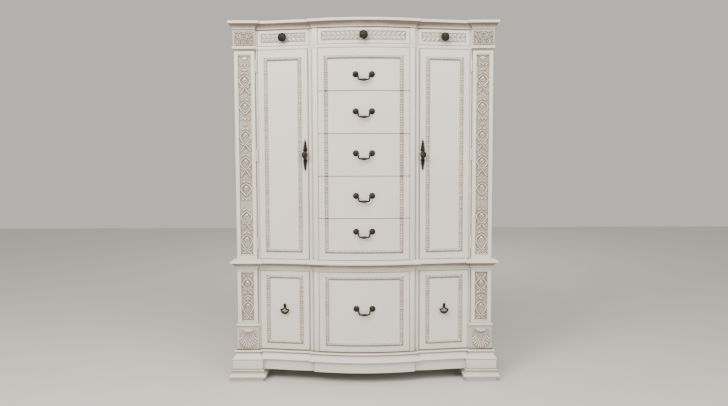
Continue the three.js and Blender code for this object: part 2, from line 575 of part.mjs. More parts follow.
const centreX = [-CENTRE_OPENING + REVEAL, CENTRE_OPENING - REVEAL];
const centreBoxX = [-CENTRE_OPENING + BOX_SIDE_CLEARANCE, CENTRE_OPENING - BOX_SIDE_CLEARANCE];
const centreFrameX = [-CENTRE_OPENING + FRAME_INSET, CENTRE_OPENING - FRAME_INSET];
const centreSteps = 12;
const baySteps = 8;

const bailPosts = (z) => [-1, 1].map((side) => bailPost()
  .translate(side * POST_SPACING / 2, yOf(frontAt(POST_SPACING / 2)), z));
const bailForward = frontAt(POST_SPACING / 2) + BAIL_STANDOFF;

drawerRows.forEach(([bottom, top], i) => {
  const number = i + 1;
  const pivotZ = (bottom + top) / 2 + BAIL_ABOVE_MIDDLE[i];
  addPart(`drawer_front_${number}`, join(frontBoard(centreX, [bottom, top], centreSteps, CENTRE_BACKING),
    ...frameStrips(centreFrameX, UPPER_FRAME, [bottom, top], centreSteps), ...bailPosts(pivotZ)), paint);
  addPart(`drawer_box_${number}`, drawerBox(centreBoxX, CENTRE_BACKING - TOUCH,
    [bottom + RUNNER_HEIGHT + SLIDE_CLEARANCE, top - BOX_TOP_DROP]), rawWood);
  addPart(`bail_${number}`, bail().translate(0, yOf(bailForward), pivotZ), bronze);
});

// Front with its box joined behind it, as one drawer
function wholeDrawer(frontX, boxX, [bottom, top], floor, steps, backing, topDrop) {
  return join(frontBoard(frontX, [bottom, top], steps, backing),
    drawerBox(boxX, backing + SEAT_OVERLAP, [floor + SLIDE_CLEARANCE, top - topDrop]));
}

const lowerRow = [BASE_TOP + REVEAL, WAIST_BOTTOM - REVEAL];
addPart('lower_drawer_centre', join(
  wholeDrawer(centreX, centreBoxX, lowerRow, BASE_TOP, centreSteps, CENTRE_BACKING, BOX_TOP_DROP),
  ...frameStrips(centreFrameX, LOWER_FRAME, lowerRow, centreSteps), ...bailPosts(LOWER_BAIL_Z)), paint);
addPart('bail_lower', bail().translate(0, yOf(bailForward), LOWER_BAIL_Z), bronze);

const friezeRow = [FRIEZE_BOARD_TOP + REVEAL, CORNICE_BOTTOM - REVEAL];

function leafRecess([x0, x1], steps) {
  const cutX = [x0 + LEAF_RECESS_MARGIN, x1 - LEAF_RECESS_MARGIN];
  return prism([...frontCurve(...cutX, steps, -LEAF_RECESS_DEPTH), ...frontCurve(cutX[1], cutX[0], steps, 5)],
    ...LEAF_RECESS);
}

function addFriezeDrawer(word, frontX, boxX, knobX, steps, backing) {
  const drawer = wholeDrawer(frontX, boxX, friezeRow, FRIEZE_BOARD_TOP, steps, backing,
    FRIEZE_BOX_TOP_DROP);
  addPart(`frieze_drawer_${word}`, cut(drawer, leafRecess(frontX, steps)), paint);
  addPart(`frieze_knob_${word}`, seat(friezeKnob(), knobX, KNOB_Z, TOUCH - LEAF_RECESS_DEPTH), bronze);
}
addFriezeDrawer('centre', centreX, centreBoxX, 0, centreSteps, CENTRE_BACKING);

// ---------------------------------------------------------------- doors, their fittings and the side drawers

const shrink = ([x0, x1], by) => [x0 + by, x1 - by];

for (const [word, side] of [['left', -1], ['right', 1]]) {
  const bay = ordered(side, BAY_INNER, BAY_OUTER);
  const bayFront = shrink(bay, REVEAL);
  const bayFrame = shrink(bay, FRAME_INSET);
  const friezeBay = ordered(side, FRIEZE_INNER, BAY_OUTER);
  const bayMiddle = side * (BAY_INNER + BAY_OUTER) / 2;

  const doorRow = [WAIST_TOP + REVEAL, FRIEZE_BOARD_BOTTOM - REVEAL];
  addPart(`door_${word}`, join(frontBoard(bayFront, doorRow, baySteps),
    ...frameStrips(bayFrame, UPPER_FRAME, doorRow, baySteps)), paint);
  addPart(`door_handle_${word}`, seat(doorHandle(), side * (BAY_INNER + REVEAL + DOOR_HANDLE_INSET),
    DOOR_MIDDLE_Z, TOUCH), bronze);
  HINGE_Z.forEach((z, i) => {
    const height = ['bottom', 'middle', 'top'][i];
    addPart(`hinge_${word}_${height}`, hinge().translate(side * HINGE_X, yOf(HINGE_FORWARD), z), paint);
  });

  addFriezeDrawer(word, shrink(friezeBay, REVEAL), shrink(friezeBay, BOX_SIDE_CLEARANCE),
    side * (FRIEZE_INNER + BAY_OUTER) / 2, baySteps, BAY_BACKING);

  const plate = seat(dropPlate(), bayMiddle, DROP_PULL_Z);
  const lowerBoxX = shrink(bay, BOX_SIDE_CLEARANCE);
  addPart(`lower_drawer_${word}`, join(
    wholeDrawer(bayFront, lowerBoxX, lowerRow, BASE_TOP, baySteps, BAY_BACKING, BOX_TOP_DROP),
    ...frameStrips(bayFrame, LOWER_FRAME, lowerRow, baySteps), plate), paint);
  addPart(`drop_${word}`, seat(pierceDrop(), bayMiddle, DROP_PULL_Z, DROP_STANDOFF), bronze);
}

export default group;
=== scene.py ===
"""Tall painted armoire: carved pilasters, a bowed stack of drawers and two ogee-fronted doors."""

import json
import math

import bmesh
import bpy
import numpy as np
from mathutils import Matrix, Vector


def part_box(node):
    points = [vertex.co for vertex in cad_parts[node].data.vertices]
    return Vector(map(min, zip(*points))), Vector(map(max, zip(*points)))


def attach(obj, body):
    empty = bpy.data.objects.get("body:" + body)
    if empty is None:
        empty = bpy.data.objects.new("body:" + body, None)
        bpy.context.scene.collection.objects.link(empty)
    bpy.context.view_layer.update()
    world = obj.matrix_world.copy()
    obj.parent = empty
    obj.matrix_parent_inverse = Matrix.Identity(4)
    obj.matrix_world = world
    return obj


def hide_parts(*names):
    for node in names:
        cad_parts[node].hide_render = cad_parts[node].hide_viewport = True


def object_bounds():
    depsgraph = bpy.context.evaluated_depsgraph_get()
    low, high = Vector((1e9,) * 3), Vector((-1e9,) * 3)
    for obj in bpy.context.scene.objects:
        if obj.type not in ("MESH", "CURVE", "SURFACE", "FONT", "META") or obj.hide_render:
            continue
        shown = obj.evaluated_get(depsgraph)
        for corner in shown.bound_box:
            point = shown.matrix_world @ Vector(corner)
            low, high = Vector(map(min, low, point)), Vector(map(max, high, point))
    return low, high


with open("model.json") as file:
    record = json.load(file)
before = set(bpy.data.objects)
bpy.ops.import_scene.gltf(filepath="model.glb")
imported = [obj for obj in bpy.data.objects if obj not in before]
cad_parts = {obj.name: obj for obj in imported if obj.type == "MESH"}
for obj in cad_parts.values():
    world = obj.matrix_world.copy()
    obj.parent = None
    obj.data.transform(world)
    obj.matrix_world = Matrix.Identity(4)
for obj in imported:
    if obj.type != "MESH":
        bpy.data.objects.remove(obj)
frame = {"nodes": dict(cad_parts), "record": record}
cad_box = [list(corner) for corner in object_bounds()]

# ---------------------------------------------------------------- sizes, in millimetres

MM = 0.001
SIDES = (("left", -1), ("right", 1))
MERGE_GAP = 1e-6            # metres; points closer than this are one point
GAP = 0.3                   # between pieces that stand against each other

# The plan. Forward distances start at the back of the case.
HALF_WIDTH = 689.0          # of the case without its mouldings
PILASTER_INNER = 580.0
PILASTER_FORWARD = 430.0
POST_BACK = 392.0
STRIP_WIDTH = 12.0          # of the hinge strip beside a pilaster
STRIP_FORWARD = 417.0
BREAK_X = 270.5             # where the centre steps forward of the bays
BAY_OGEE = 33.0             # how far a bay falls back towards its pilaster
BAY_INNER_FORWARD = 450.0
CENTRE_FORWARD = 496.0      # at the middle of the bow
CENTRE_BOW = 30.0
BOW_RADIUS = (BREAK_X ** 2 + CENTRE_BOW ** 2) / (2 * CENTRE_BOW)
DOOR_THICKNESS = 22.0
CENTRE_BACKING = 448.0      # rear face of the centre fronts
BAY_BACKING = 396.0         # rear face of the bays' drawer fronts

# Heights above the floor
BASE_BOTTOM = 117.0
FAN_LOW = 170.0
LOWER_CARVING_LOW = 323.0
DROP_PLATE_Z = 405.0
LOWER_FRAME_TOP = 580.0
UPPER_FRAME_TOP = 1745.0
UPPER_CARVING_TOP = 1761.0
CAPITAL_LOW = 1776.0
FRIEZE_RAIL_LOW = 1785.0
FRIEZE_PANEL = (1819.0, 1870.0)

# Fronts and their frames
EASE = 1.6                  # rounding of a front's edges
FRAME_WIDTH = 20.0
CENTRE_FRAME_HALF = 209.0
BAY_FRAME = (330.5, 533.0)  # inner and outer edge of a bay's frame
RECESS_DEPTH = 3.6          # of the frieze drawers' panels
FRONT_ABOVE_BOX = 1.5       # bottom edge of a whole drawer's front above that of its box
BOX_TOP_DROP = 22.0         # top of a front to the top of its box
FRIEZE_BOX_TOP_DROP = 12.0

# Carving
CARVING_HALF = 34.0         # of a pilaster's recess
CARVING_DRAWN_HALF = 28.6   # of the carving as it is drawn
CARVING_DEPTH = 6.0
CARVING_PITCH = 1.3         # grid of the carved panels
BLOCK_PROUD = 4.0           # capitals and fan blocks in front of their posts

# Feet and hardware
FOOT_SPREAD = 18.0          # how far a foot's flare stands out from its block
POST_SPACING = 85.0
BAIL_STANDOFF = 16.0
BAIL_ABOVE_PIVOT = 2.5      # top of a bail's end above the line that it swings on
DROP_STANDOFF = 13.0
HANDLE_X = 313.0
FRIEZE_KNOB_X = 426.5
KNOB_SINK = 2.7             # how far a knob's foot goes into its recess
BARREL_RADIUS = 4.5         # of a hinge

DEPTH = (cad_box[1][1] - cad_box[0][1]) / MM


def span(node):
    """[low, high] of a CAD node in x and in z."""
    low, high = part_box(node)
    return (low.x / MM, high.x / MM), (low.z / MM, high.z / MM)


def link(item):
    """The item, put in the scene."""
    bpy.context.scene.collection.objects.link(item)
    return item


# ---------------------------------------------------------------- camera, floor and lights

def make_camera():
    """A camera at standing height in front of the armoire."""
    data = bpy.data.cameras.new("camera")
    data.sensor_width = 36.0
    data.lens = 29.67
    camera = link(bpy.data.objects.new("camera", data))
    camera.location = (0.0, -3.3915, 1.165)
    camera.rotation_euler = (math.radians(86.5), math.radians(0.18), 0.0)
    bpy.context.scene.camera = camera


def make_light(name, place, turn, size, power, colour):
    """A soft rectangular light, turned by degrees about X, Y and Z."""
    data = bpy.data.lights.new(name, "AREA")
    data.shape = "RECTANGLE"
    data.size, data.size_y = size
    data.energy = power
    data.color = colour
    lamp = link(bpy.data.objects.new(name, data))
    lamp.location = place
    lamp.rotation_euler = [math.radians(angle) for angle in turn]


make_camera()
make_light("key", (-2.4, -3.2, 3.3), (48, 0, -36), (1.8, 1.6), 172, (1.0, 0.95, 0.88))
make_light("fill", (2.8, -3.0, 2.2), (66, 0, 42), (2.6, 2.0), 66, (1.0, 0.97, 0.94))
make_light("overhead", (0.0, -2.0, 4.0), (24, 0, 0), (2.6, 1.2), 108, (1.0, 0.97, 0.92))
make_light("behind", (0.6, 3.4, 3.0), (-50, 0, 176), (3.0, 2.4), 48, (1.0, 0.98, 0.96))

# ---------------------------------------------------------------- shader expressions

class Value:
    """A shader socket that takes part in arithmetic."""

    def __init__(self, graph, socket):
        self.graph = graph
        self.socket = socket

    def math(self, operation, *others):
        """A Math node on these operands."""
        operands = dict(enumerate(others))
        return self.graph.add("ShaderNodeMath", {"operation": operation}, operands)

    def clamped(self):
        """The value kept between 0 and 1."""
        return self.graph.add("ShaderNodeClamp", {}, {0: self})

    def __add__(self, other):
        return self.math("ADD", self, other)

    __radd__ = __add__

    def __mul__(self, other):
        return self.math("MULTIPLY", self, other)

    __rmul__ = __mul__

    def __sub__(self, other):
        return self.math("SUBTRACT", self, other)

    def __rsub__(self, other):
        return self.math("SUBTRACT", other, self)


class Graph:
    """A material's nodes."""

    def __init__(self, name):
        self.material = bpy.data.materials.new(name)
        self.material.use_nodes = True
        self.tree = self.material.node_tree
        self.shader = self.tree.nodes["Principled BSDF"]

    def put(self, socket, value):
        """Links a value to a socket, or sets it."""
        if isinstance(value, Value):
            self.tree.links.new(value.socket, socket)
        else:
            socket.default_value = value

    def add(self, kind, settings, sockets, output=0):
        """One output of a new node, from its type, its settings and its sockets' values."""
        node = self.tree.nodes.new(kind)
        for name, value in settings.items():
            if name == "stops":
                ramp = node.color_ramp.elements
                for i, (place, shade) in enumerate(value):
                    stop = ramp[i] if i < len(ramp) else ramp.new(place)
                    stop.position = place
                    stop.color = (shade, shade, shade, 1.0)
            else:
                setattr(node, name, value)
        for key, value in sockets.items():
            self.put(node.inputs[key], value)
        return Value(self, node.outputs[output])

    def place(self):
        """Where a point of the piece lies."""
        return self.add("ShaderNodeTexCoord", {}, {}, "Object")

    def noise(self, scale, detail=3.0, stretch=None):
        """Cloudy noise on the piece, finer along an axis whose stretch is larger."""
        place = self.place()
        if stretch:
            place = self.add("ShaderNodeMapping", {}, {"Vector": place, "Scale": stretch})
        return self.add("ShaderNodeTexNoise", {}, {"Vector": place, "Scale": scale, "Detail": detail})

    def ramp(self, value, *stops):
        """The value carried through (place, shade) stops."""
        return self.add("ShaderNodeValToRGB", {"stops": stops}, {0: value})

    def blend(self, factor, first, second):
        """A colour between two others."""
        return self.add("ShaderNodeMix", {"data_type": "RGBA"}, {0: factor, 6: first, 7: second}, 2)

    def attribute(self, name):
        """A number held by the piece's own points."""
        return self.add("ShaderNodeAttribute", {"attribute_name": name}, {}, "Fac")

    def cavity(self, distance):
        """1 in a piece's own crevices and 0 in the open."""
        seen = self.add("ShaderNodeAmbientOcclusion", {"only_local": True, "samples": 8},
                        {"Distance": distance}, "AO")
        return self.ramp(1 - seen, (0.18, 0.0), (0.78, 1.0))

    def bump(self, height, distance):
        """A normal tilted by a fine height, whose full reach is in metres."""
        return self.add("ShaderNodeBump", {}, {"Height": height, "Distance": distance, "Strength": 0.5})

    def finish(self, colour, roughness, normal):
        """The material, with these on its shader."""
        self.put(self.shader.inputs["Base Color"], colour)
        self.put(self.shader.inputs["Roughness"], roughness)
        self.put(self.shader.inputs["Normal"], normal)
        return self.material


def glazed_and_shaded_paint(name, light, shade, glaze):
    """Satin off-white paint with a brown glaze wiped into the recesses, the same brown also laid on as
    painted shade: in crevices from ambient occlusion, and wherever a piece's own values put it.
    """
    g = Graph(name)
    patch = g.noise(6.0)
    brushed = g.noise(40.0, 4.0, (6.0, 6.0, 0.5))
    grit = g.noise(260.0, 2.0)
    body = g.blend((patch * 0.6 + brushed * 0.5 - 0.1).clamped(), light, shade)
    # Glaze and painted shade together: the piece's own values plus ambient-occlusion darkening of its
    # crevices, mixed into the colour as the brown.
    held = g.attribute("glaze") + g.cavity(0.011) * 1.2
    held = (held * (patch * 0.8 + 0.6)).clamped()
    colour = g.blend(held * 0.95, body, glaze)
    rough = (brushed * 0.18 + held * 0.2 + 0.34).clamped()
    return g.finish(colour, rough, g.bump(grit * 0.4 + brushed * 0.6, 0.0004))


def rubbed_bronze(name):
    """Dark reddish-brown bronze, worn to olive on the high places."""
    g = Graph(name)
    patch = g.noise(70.0, 4.0)
    grit = g.noise(700.0, 2.0)
    worn = (g.ramp(patch, (0.42, 0.0), (0.7, 1.0)) * (1 - g.cavity(0.004)) * 0.7).clamped()
    colour = g.blend(worn, (0.012, 0.009, 0.006, 1.0), (0.075, 0.062, 0.043, 1.0))
    g.shader.inputs["Metallic"].default_value = 0.6
    return g.finish(colour, (patch * 0.25 + 0.4).clamped(), g.bump(grit, 0.0003))


def bare_wood(name, grain_way, pore_way):
    """Unfinished pale hardwood with its grain along one way."""
    g = Graph(name)
    grain = g.noise(30.0, 6.0, grain_way)
    pores = g.noise(260.0, 2.0, pore_way)
    colour = g.blend((grain * 1.3 - 0.2).clamped(), (0.52, 0.35, 0.2, 1.0), (0.3, 0.18, 0.09, 1.0))
    return g.finish(colour, (grain * 0.2 + 0.55).clamped(), g.bump(grain + pores * 0.5, 0.0005))


# The third colour is the brown glaze, also used as painted shade.
PAINT = glazed_and_shaded_paint("glazed_and_shaded_paint", (0.77, 0.748, 0.688, 1.0), (0.69, 0.66, 0.59, 1.0),
                     (0.17, 0.11, 0.066, 1.0))
BRONZE = rubbed_bronze("rubbed_bronze")
WOOD = bare_wood("drawer_wood", (1.0, 0.12, 3.0), (1.0, 0.1, 3.0))
BACK_WOOD = bare_wood("back_wood", (2.4, 1.0, 0.1), (2.0, 1.0, 0.08))


def make_stage():
    """A plain pale floor in a soft, slightly warm room."""
    g = Graph("pale_floor")
    cloud = g.noise(3.0)
    colour = g.blend(cloud, (0.62, 0.6, 0.57, 1.0), (0.68, 0.66, 0.63, 1.0))
    finish = g.finish(colour, (cloud * 0.1 + 0.6).clamped(), g.bump(g.noise(90.0), 0.0002))
    mesh = bpy.data.meshes.new("floor")
    reach = 8.0
    mesh.from_pydata([(-reach, -reach, 0), (reach, -reach, 0), (reach, reach, 0), (-reach, reach, 0)],
                     [], [(0, 1, 2, 3)])
    mesh.materials.append(finish)
    link(bpy.data.objects.new("floor", mesh))
    world = bpy.data.worlds.new("soft_room")
    world.use_nodes = True
    background = world.node_tree.nodes["Background"]
    background.inputs["Color"].default_value = (0.95, 0.9, 0.83, 1.0)
    background.inputs["Strength"].default_value = 0.66
    bpy.context.scene.world = world


make_stage()

# ---------------------------------------------------------------- the front's plan

def front_at(x):
    """Forward distance of the front: a bow in the centre, an ogee in each bay, flat pilasters."""
    across = np.abs(np.asarray(x, float))
    bow = CENTRE_FORWARD - BOW_RADIUS + np.sqrt(BOW_RADIUS ** 2 - np.minimum(across, BREAK_X) ** 2)
    along = np.clip((across - BREAK_X) / (PILASTER_INNER - BREAK_X), 0, 1)
    bay = BAY_INNER_FORWARD - BAY_OGEE * (1 - np.cos(np.pi * along)) / 2
    return np.where(across <= BREAK_X, bow, np.where(across >= PILASTER_INNER, PILASTER_FORWARD, bay))


def turn_at(x):
    """Angle about Z of the front at x, from one that faces straight out."""
    return math.atan(-(float(front_at(x + 0.5)) - float(front_at(x - 0.5))))


def case_plan():
    """Points of the case, from the left rear corner along the front to the right rear corner."""
    bay_steps, centre_steps = 26, 40
    nearly = 1e-6           # keeps each bay's ends off the steps beside it
    bay = np.linspace(-PILASTER_INNER + nearly, -BREAK_X - nearly, bay_steps)
    centre = np.linspace(-BREAK_X, BREAK_X, centre_steps)
    half = [(-HALF_WIDTH, 0.0), (-HALF_WIDTH, PILASTER_FORWARD), (-PILASTER_INNER, PILASTER_FORWARD)]
    half += list(zip(bay, front_at(bay)))
    return np.array(half + list(zip(centre, front_at(centre))) + [(-x, f) for x, f in reversed(half)])


def grown_plan(overhang):
    """The plan grown by an overhang, with mitred corners and the back edge left in place."""
    plan = case_plan()
    ahead = np.roll(plan, -1, axis=0) - plan
    normal = np.stack([-ahead[:, 1], ahead[:, 0]], 1) / np.hypot(*ahead.T)[:, None]
    reach = np.full(len(plan), overhang)
    reach[-1] = 0.0
    distance = (normal * plan).sum(1) + reach
    grown = []
    for i, point in enumerate(plan):
        a, b = normal[i - 1], normal[i]
        cross = a[0] * b[1] - a[1] * b[0]
        straight = abs(cross) < 1e-4
        if straight:
            grown.append(point + overhang * b)
        else:
            grown.append(((distance[i - 1] * b[1] - distance[i] * a[1]) / cross,
                          (distance[i] * a[0] - distance[i - 1] * b[0]) / cross))
    return np.array(grown)


# ---------------------------------------------------------------- mesh building

def to_row(x, forward, z):
    """Points in the row frame, in metres."""
    return np.stack(np.broadcast_arrays(x, DEPTH / 2 - np.asarray(forward, float), z), -1) * MM


def finish_piece(item, finish, body, replaces=(), crease=32):
    """Gives a piece its finish, and puts it on its body in place of the CAD nodes it stands for."""
    mesh = item.data
    mesh.materials.clear()
    mesh.materials.append(finish)
    mesh.shade_smooth()
    mesh.set_sharp_from_angle(angle=math.radians(crease))
    if replaces:
        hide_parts(*replaces)
    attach(item, body)


def closed_item(name, points, faces, glaze=None, merge=MERGE_GAP):
    """An object with a closed mesh from points in the row frame, its faces turned outwards."""
    mesh = bpy.data.meshes.new(name)
    mesh.from_pydata(np.asarray(points).reshape(-1, 3).tolist(), [], faces)
    if glaze is not None:
        held = mesh.attributes.new("glaze", "FLOAT", "POINT")
        held.data.foreach_set("value", np.asarray(glaze, np.float32).ravel())
    shell = bmesh.new()
    shell.from_mesh(mesh)
    if merge:
        bmesh.ops.remove_doubles(shell, verts=shell.verts, dist=merge)
    bmesh.ops.recalc_face_normals(shell, faces=shell.faces)
    shell.to_mesh(mesh)
    shell.free()
    return link(bpy.data.objects.new(name, mesh))


def piece(name, points, faces, finish, body, replaces=(), glaze=None, crease=32):
    """A new closed piece from points in the row frame."""
    finish_piece(closed_item(name, points, faces, glaze), finish, body, replaces, crease)


def apply_modifiers(item):
    """The item as a plain mesh, with its modifiers' result in it."""
    view = bpy.context.evaluated_depsgraph_get()
    view.update()
    item.data = bpy.data.meshes.new_from_object(item.evaluated_get(view), depsgraph=view)
    item.modifiers.clear()
    return item


def ease_edges(item, width):
    """The item with its sharp edges rounded."""
    bevel = item.modifiers.new("ease", "BEVEL")
    bevel.width = width * MM
    bevel.segments = 2
    bevel.limit_method = "ANGLE"
    bevel.angle_limit = math.radians(35)
    return apply_modifiers(item)


def grid_faces(rows, columns, start=0, wrap=False):
    """Faces between neighbours in a grid of points, which may close on itself along its columns."""
    faces = []
    for r in range(rows - 1):
        for c in range(columns if wrap else columns - 1):
            a, b = start + r * columns + c, start + r * columns + (c + 1) % columns
            faces.append((a, b, b + columns, a + columns))
    return faces


def ringed_faces(rings, count):
    """Faces of a closed shape made of rings of points, with a cap at each end."""
    first, last = tuple(range(count)), tuple(range((rings - 1) * count, rings * count))
    return grid_faces(rings, count, wrap=True) + [first, last]


def sheet(front, back, rows, columns):
    """Points and faces of a closed sheet between two grids of points."""
    count = rows * columns
    faces = grid_faces(rows, columns) + grid_faces(rows, columns, count)
    rim = ([(0, c) for c in range(columns)] + [(r, columns - 1) for r in range(1, rows)]
           + [(rows - 1, c) for c in range(columns - 2, -1, -1)] + [(r, 0) for r in range(rows - 2, 0, -1)])
    rim = [r * columns + c for r, c in rim]
    for a, b in zip(rim, rim[1:] + rim[:1]):
        faces.append((a, b, b + count, a + count))
    return np.concatenate([front, back]), faces


def painted_board(name, xs, zs, face, back, glaze, body, replaces=(), crease=32):
    """A painted board: a shaped face over a grid that holds glaze and painted shade, and a plain back."""
    grid_x, grid_z = np.meshgrid(xs, zs)
    front = to_row(grid_x, face, grid_z).reshape(-1, 3)
    rear = to_row(grid_x, np.broadcast_to(back, face.shape), grid_z).reshape(-1, 3)
    points, faces = sheet(front, rear, len(zs), len(xs))
    held = np.ravel(glaze)
    piece(name, points, faces, PAINT, body, replaces, np.concatenate([held, np.zeros_like(held)]), crease)


def lines(low, high, pitch, extra=()):
    """Grid lines over a front, closer together at its eased edges."""
    margin = 3.0
    edge = [0.0, 0.25 * EASE, 0.6 * EASE, EASE, margin]
    middle = np.linspace(low + margin, high - margin, max(2, int((high - low) / pitch)))
    marks = [low + e for e in edge] + list(middle) + [high - e for e in edge] + list(extra)
    return np.unique(np.round(marks, 4))


def eased(marks):
    """How far a face falls away at the edges of its grid lines, and the glaze held there."""
    gap = np.minimum(marks - marks[0], marks[-1] - marks)
    near = np.clip(EASE - gap, 0, EASE)
    return EASE - np.sqrt(EASE ** 2 - near ** 2), np.clip(1 - gap / 1.8, 0, 1) * 0.75


def sunk(xs, zs, recess, depth, slope):
    """How far a sloped-sided recess lies behind its face, and the glaze held round its floor."""
    (rx0, rx1), (rz0, rz1) = recess
    inside = np.minimum(np.minimum(xs - rx0, rx1 - xs)[None, :], np.minimum(zs - rz0, rz1 - zs)[:, None])
    held = np.where(inside > 0.5 * slope, 0.6, 0) + np.exp(-((inside - slope - 0.4) / 1.2) ** 2) * 0.4
    return depth * np.clip(inside / slope, 0, 1), held


def recess_lines(recess, slope):
    """Grid lines that follow the edges of a recess, across and upright."""
    steps = (-2.0, 0.0, 0.5 * slope, slope, slope + 1.2, slope + 3)
    return [[low + s for s in steps] + [high - s for s in steps] for low, high in recess]


def front_board(name, across, upright, backing, body, replaces=(), recess=None):
    """A curved front with eased edges, and a recess where it has one; with no backing it is a door."""
    slope = 3.0
    extra_x, extra_z = recess_lines(recess, slope) if recess else ([], [])
    xs, zs = lines(*across, 9.0, extra_x), lines(*upright, 60.0, extra_z)
    drop_x, held_x = eased(xs)
    drop_z, held_z = eased(zs)
    face = front_at(xs)[None, :] - drop_x[None, :] - drop_z[:, None]
    glaze = np.maximum(held_x[None, :], held_z[:, None])
    if recess:
        fall, held = sunk(xs, zs, recess, RECESS_DEPTH, slope)
        face = face - fall
        glaze = np.maximum(glaze, held)
    back = face.min(0) - DOOR_THICKNESS if backing is None else backing
    painted_board(name, xs, zs, face, back, glaze, body, replaces)


def moulding(name, profile, plan, body, replaces):
    """A slab or block whose edge follows plan(overhang) at each (height, overhang, glaze and painted shade).
    """
    rings = [to_row(*np.asarray(plan(overhang)).T, z) for z, overhang, _ in profile]
    count = len(rings[0])
    glaze = np.repeat([held for _, _, held in profile], count)
    piece(name, np.concatenate(rings), ringed_faces(len(rings), count), PAINT, body, replaces, glaze, 24)


def curve_profile(*runs):
    """(height, overhang, glaze and painted shade) points; a run between two of them may swell by a bulge."""
    made = []
    for (z0, o0, g0), (z1, o1, g1), bulge, steps in runs:
        for i in range(steps + 1):
            t = i / steps
            overhang = o0 + (o1 - o0) * t + bulge * math.sin(math.pi * t)
            made.append((z0 + (z1 - z0) * t, overhang, g0 + (g1 - g0) * t))
    return made


def softened(node, body, finish, width=1.0):
    """A copy of a CAD node with its edges rounded."""
    mesh = frame["nodes"][node].data.copy()
    mesh.name = node + "_eased"
    shell = bmesh.new()
    shell.from_mesh(mesh)
    bmesh.ops.remove_doubles(shell, verts=shell.verts, dist=2e-5)
    bmesh.ops.dissolve_limit(shell, angle_limit=math.radians(0.4), verts=shell.verts, edges=shell.edges)
    shell.to_mesh(mesh)
    shell.free()
    item = link(bpy.data.objects.new(node + "_eased", mesh))
    finish_piece(ease_edges(item, width), finish, body, (node,), 30)


BODY_OF = {node: body for body, nodes in frame["record"]["behaviour"]["bodies"].items() for node in nodes}

# ---------------------------------------------------------------- cornice, waist, base and feet

_, (cornice_low, cornice_high) = span("cornice")
_, (waist_low, waist_high) = span("waist_slab")
_, (base_low, base_high) = span("base_frame")

# In the cornice the last value of each point is glaze and painted shade: the cove is darkest just under the
# slab's overhang, where shade falls, and at each quirk.
moulding("cornice_moulding", curve_profile(
    ((cornice_low, 0, 1.0), (cornice_low + 2.4, 0.4, 0.9), 0, 2),
    ((cornice_low + 3, 4.2, 0.3), (cornice_low + 8, 5, 0.0), 0.4, 4),
    ((cornice_low + 8.6, 5.4, 0.9), (cornice_low + 9.2, 7, 0.7), 0, 1),
    ((cornice_low + 10, 7.2, 0.65), (cornice_high - 16, 20, 1.2), -2.8, 10),
    ((cornice_high - 15.4, 22, 0.9), (cornice_high - 14.6, 23, 1.0), 0, 1),
    ((cornice_high - 14, 25.2, 0.5), (cornice_high - 12.8, 26.8, 0.1), 0.2, 3),
    ((cornice_high - 11.5, 27, 0), (cornice_high - 3, 27, 0), 0, 3),
    ((cornice_high - 2.4, 26.8, 0), (cornice_high, 25, 0), 0.4, 4)), grown_plan, "carcass", ["cornice"])
# In the waist the last value of each point is glaze and painted shade: darkest in the cove under the top's
# overhang and at the quirks.
moulding("waist_moulding", curve_profile(
    ((waist_low, 0, 0.35), (waist_low + 13.6, 0, 0.1), 0, 4),
    ((waist_low + 14, 0.1, 0.9), (waist_low + 15, 0.3, 1.0), 0, 1),
    ((waist_low + 15.6, 4.8, 0.3), (waist_low + 21, 6, 0), 0.4, 4),
    ((waist_low + 21.6, 6.2, 0.9), (waist_low + 22.4, 8, 0.7), 0, 1),
    ((waist_low + 23.4, 8.4, 0.6), (waist_high - 23, 24, 1.1), -2.8, 10),
    ((waist_high - 22, 26, 0.9), (waist_high - 21.4, 28, 1.0), 0, 1),
    ((waist_high - 20.6, 31, 0.4), (waist_high - 18.4, 32.8, 0.05), 0.2, 3),
    ((waist_high - 17, 33, 0), (waist_high - 12, 33, 0), 0, 1),
    ((waist_high - 11, 32, 0), (waist_high - 3, 18, 0.1), 1.6, 6),
    ((waist_high - 2.6, 17, 0.3), (waist_high, 15, 0), 0.2, 3)), grown_plan, "carcass", ["waist_slab"])
# In the base the last value of each point is glaze and painted shade: darkest under its lower lip and in the
# band beneath the round at the top, where shade falls.
moulding("base_moulding", curve_profile(
    ((BASE_BOTTOM, 26, 1.0), (BASE_BOTTOM + 1.6, 29, 0.5), 0, 2),
    ((BASE_BOTTOM + 2.4, 29.8, 0), (BASE_BOTTOM + 6, 29.4, 0), 0.2, 3),
    ((BASE_BOTTOM + 7, 28, 0.0), (BASE_BOTTOM + 34, 11, 0.12), -2.8, 12),
    ((BASE_BOTTOM + 35, 10.4, 0.6), (base_high - 13, 10, 1.0), 0, 2),
    ((base_high - 12, 15.4, 0.15), (base_high - 2, 15.4, 0.0), 4.4, 10),
    ((base_high - 1, 12, 0.7), (base_high, 8, 1.0), 0, 2)), grown_plan, "carcass", ["base_frame"])


def apron():
    """The flat band under the base moulding, between the front feet."""
    nearly = 1e-3           # keeps its ends in the bays off the steps to the centre
    proud = 15.0
    half = np.linspace(BREAK_X + nearly, PILASTER_INNER - 26.3, 30)
    xs = np.concatenate([-half[::-1], np.linspace(-BREAK_X, BREAK_X, 42), half])
    # Each row is a height, how far the face falls back there, and glaze with painted shade, which is darkest
    # at the top under the base moulding's overhang.
    rows = ((base_low, 1.4, 0.5), (base_low + 0.6, 0.4, 0.2), (base_low + 2, 0, 0),
            (BASE_BOTTOM - 4, 0, 0.1), (BASE_BOTTOM - 1, 0, 0.7), (BASE_BOTTOM, 0, 0.9))
    zs, fall, held = np.array(rows).T
    face = front_at(xs)[None, :] + proud - fall[:, None]
    painted_board("apron", xs, zs, face, front_at(xs)[None, :] - 5.0, np.repeat(held, len(xs)), "carcass",
                  crease=40)


apron()


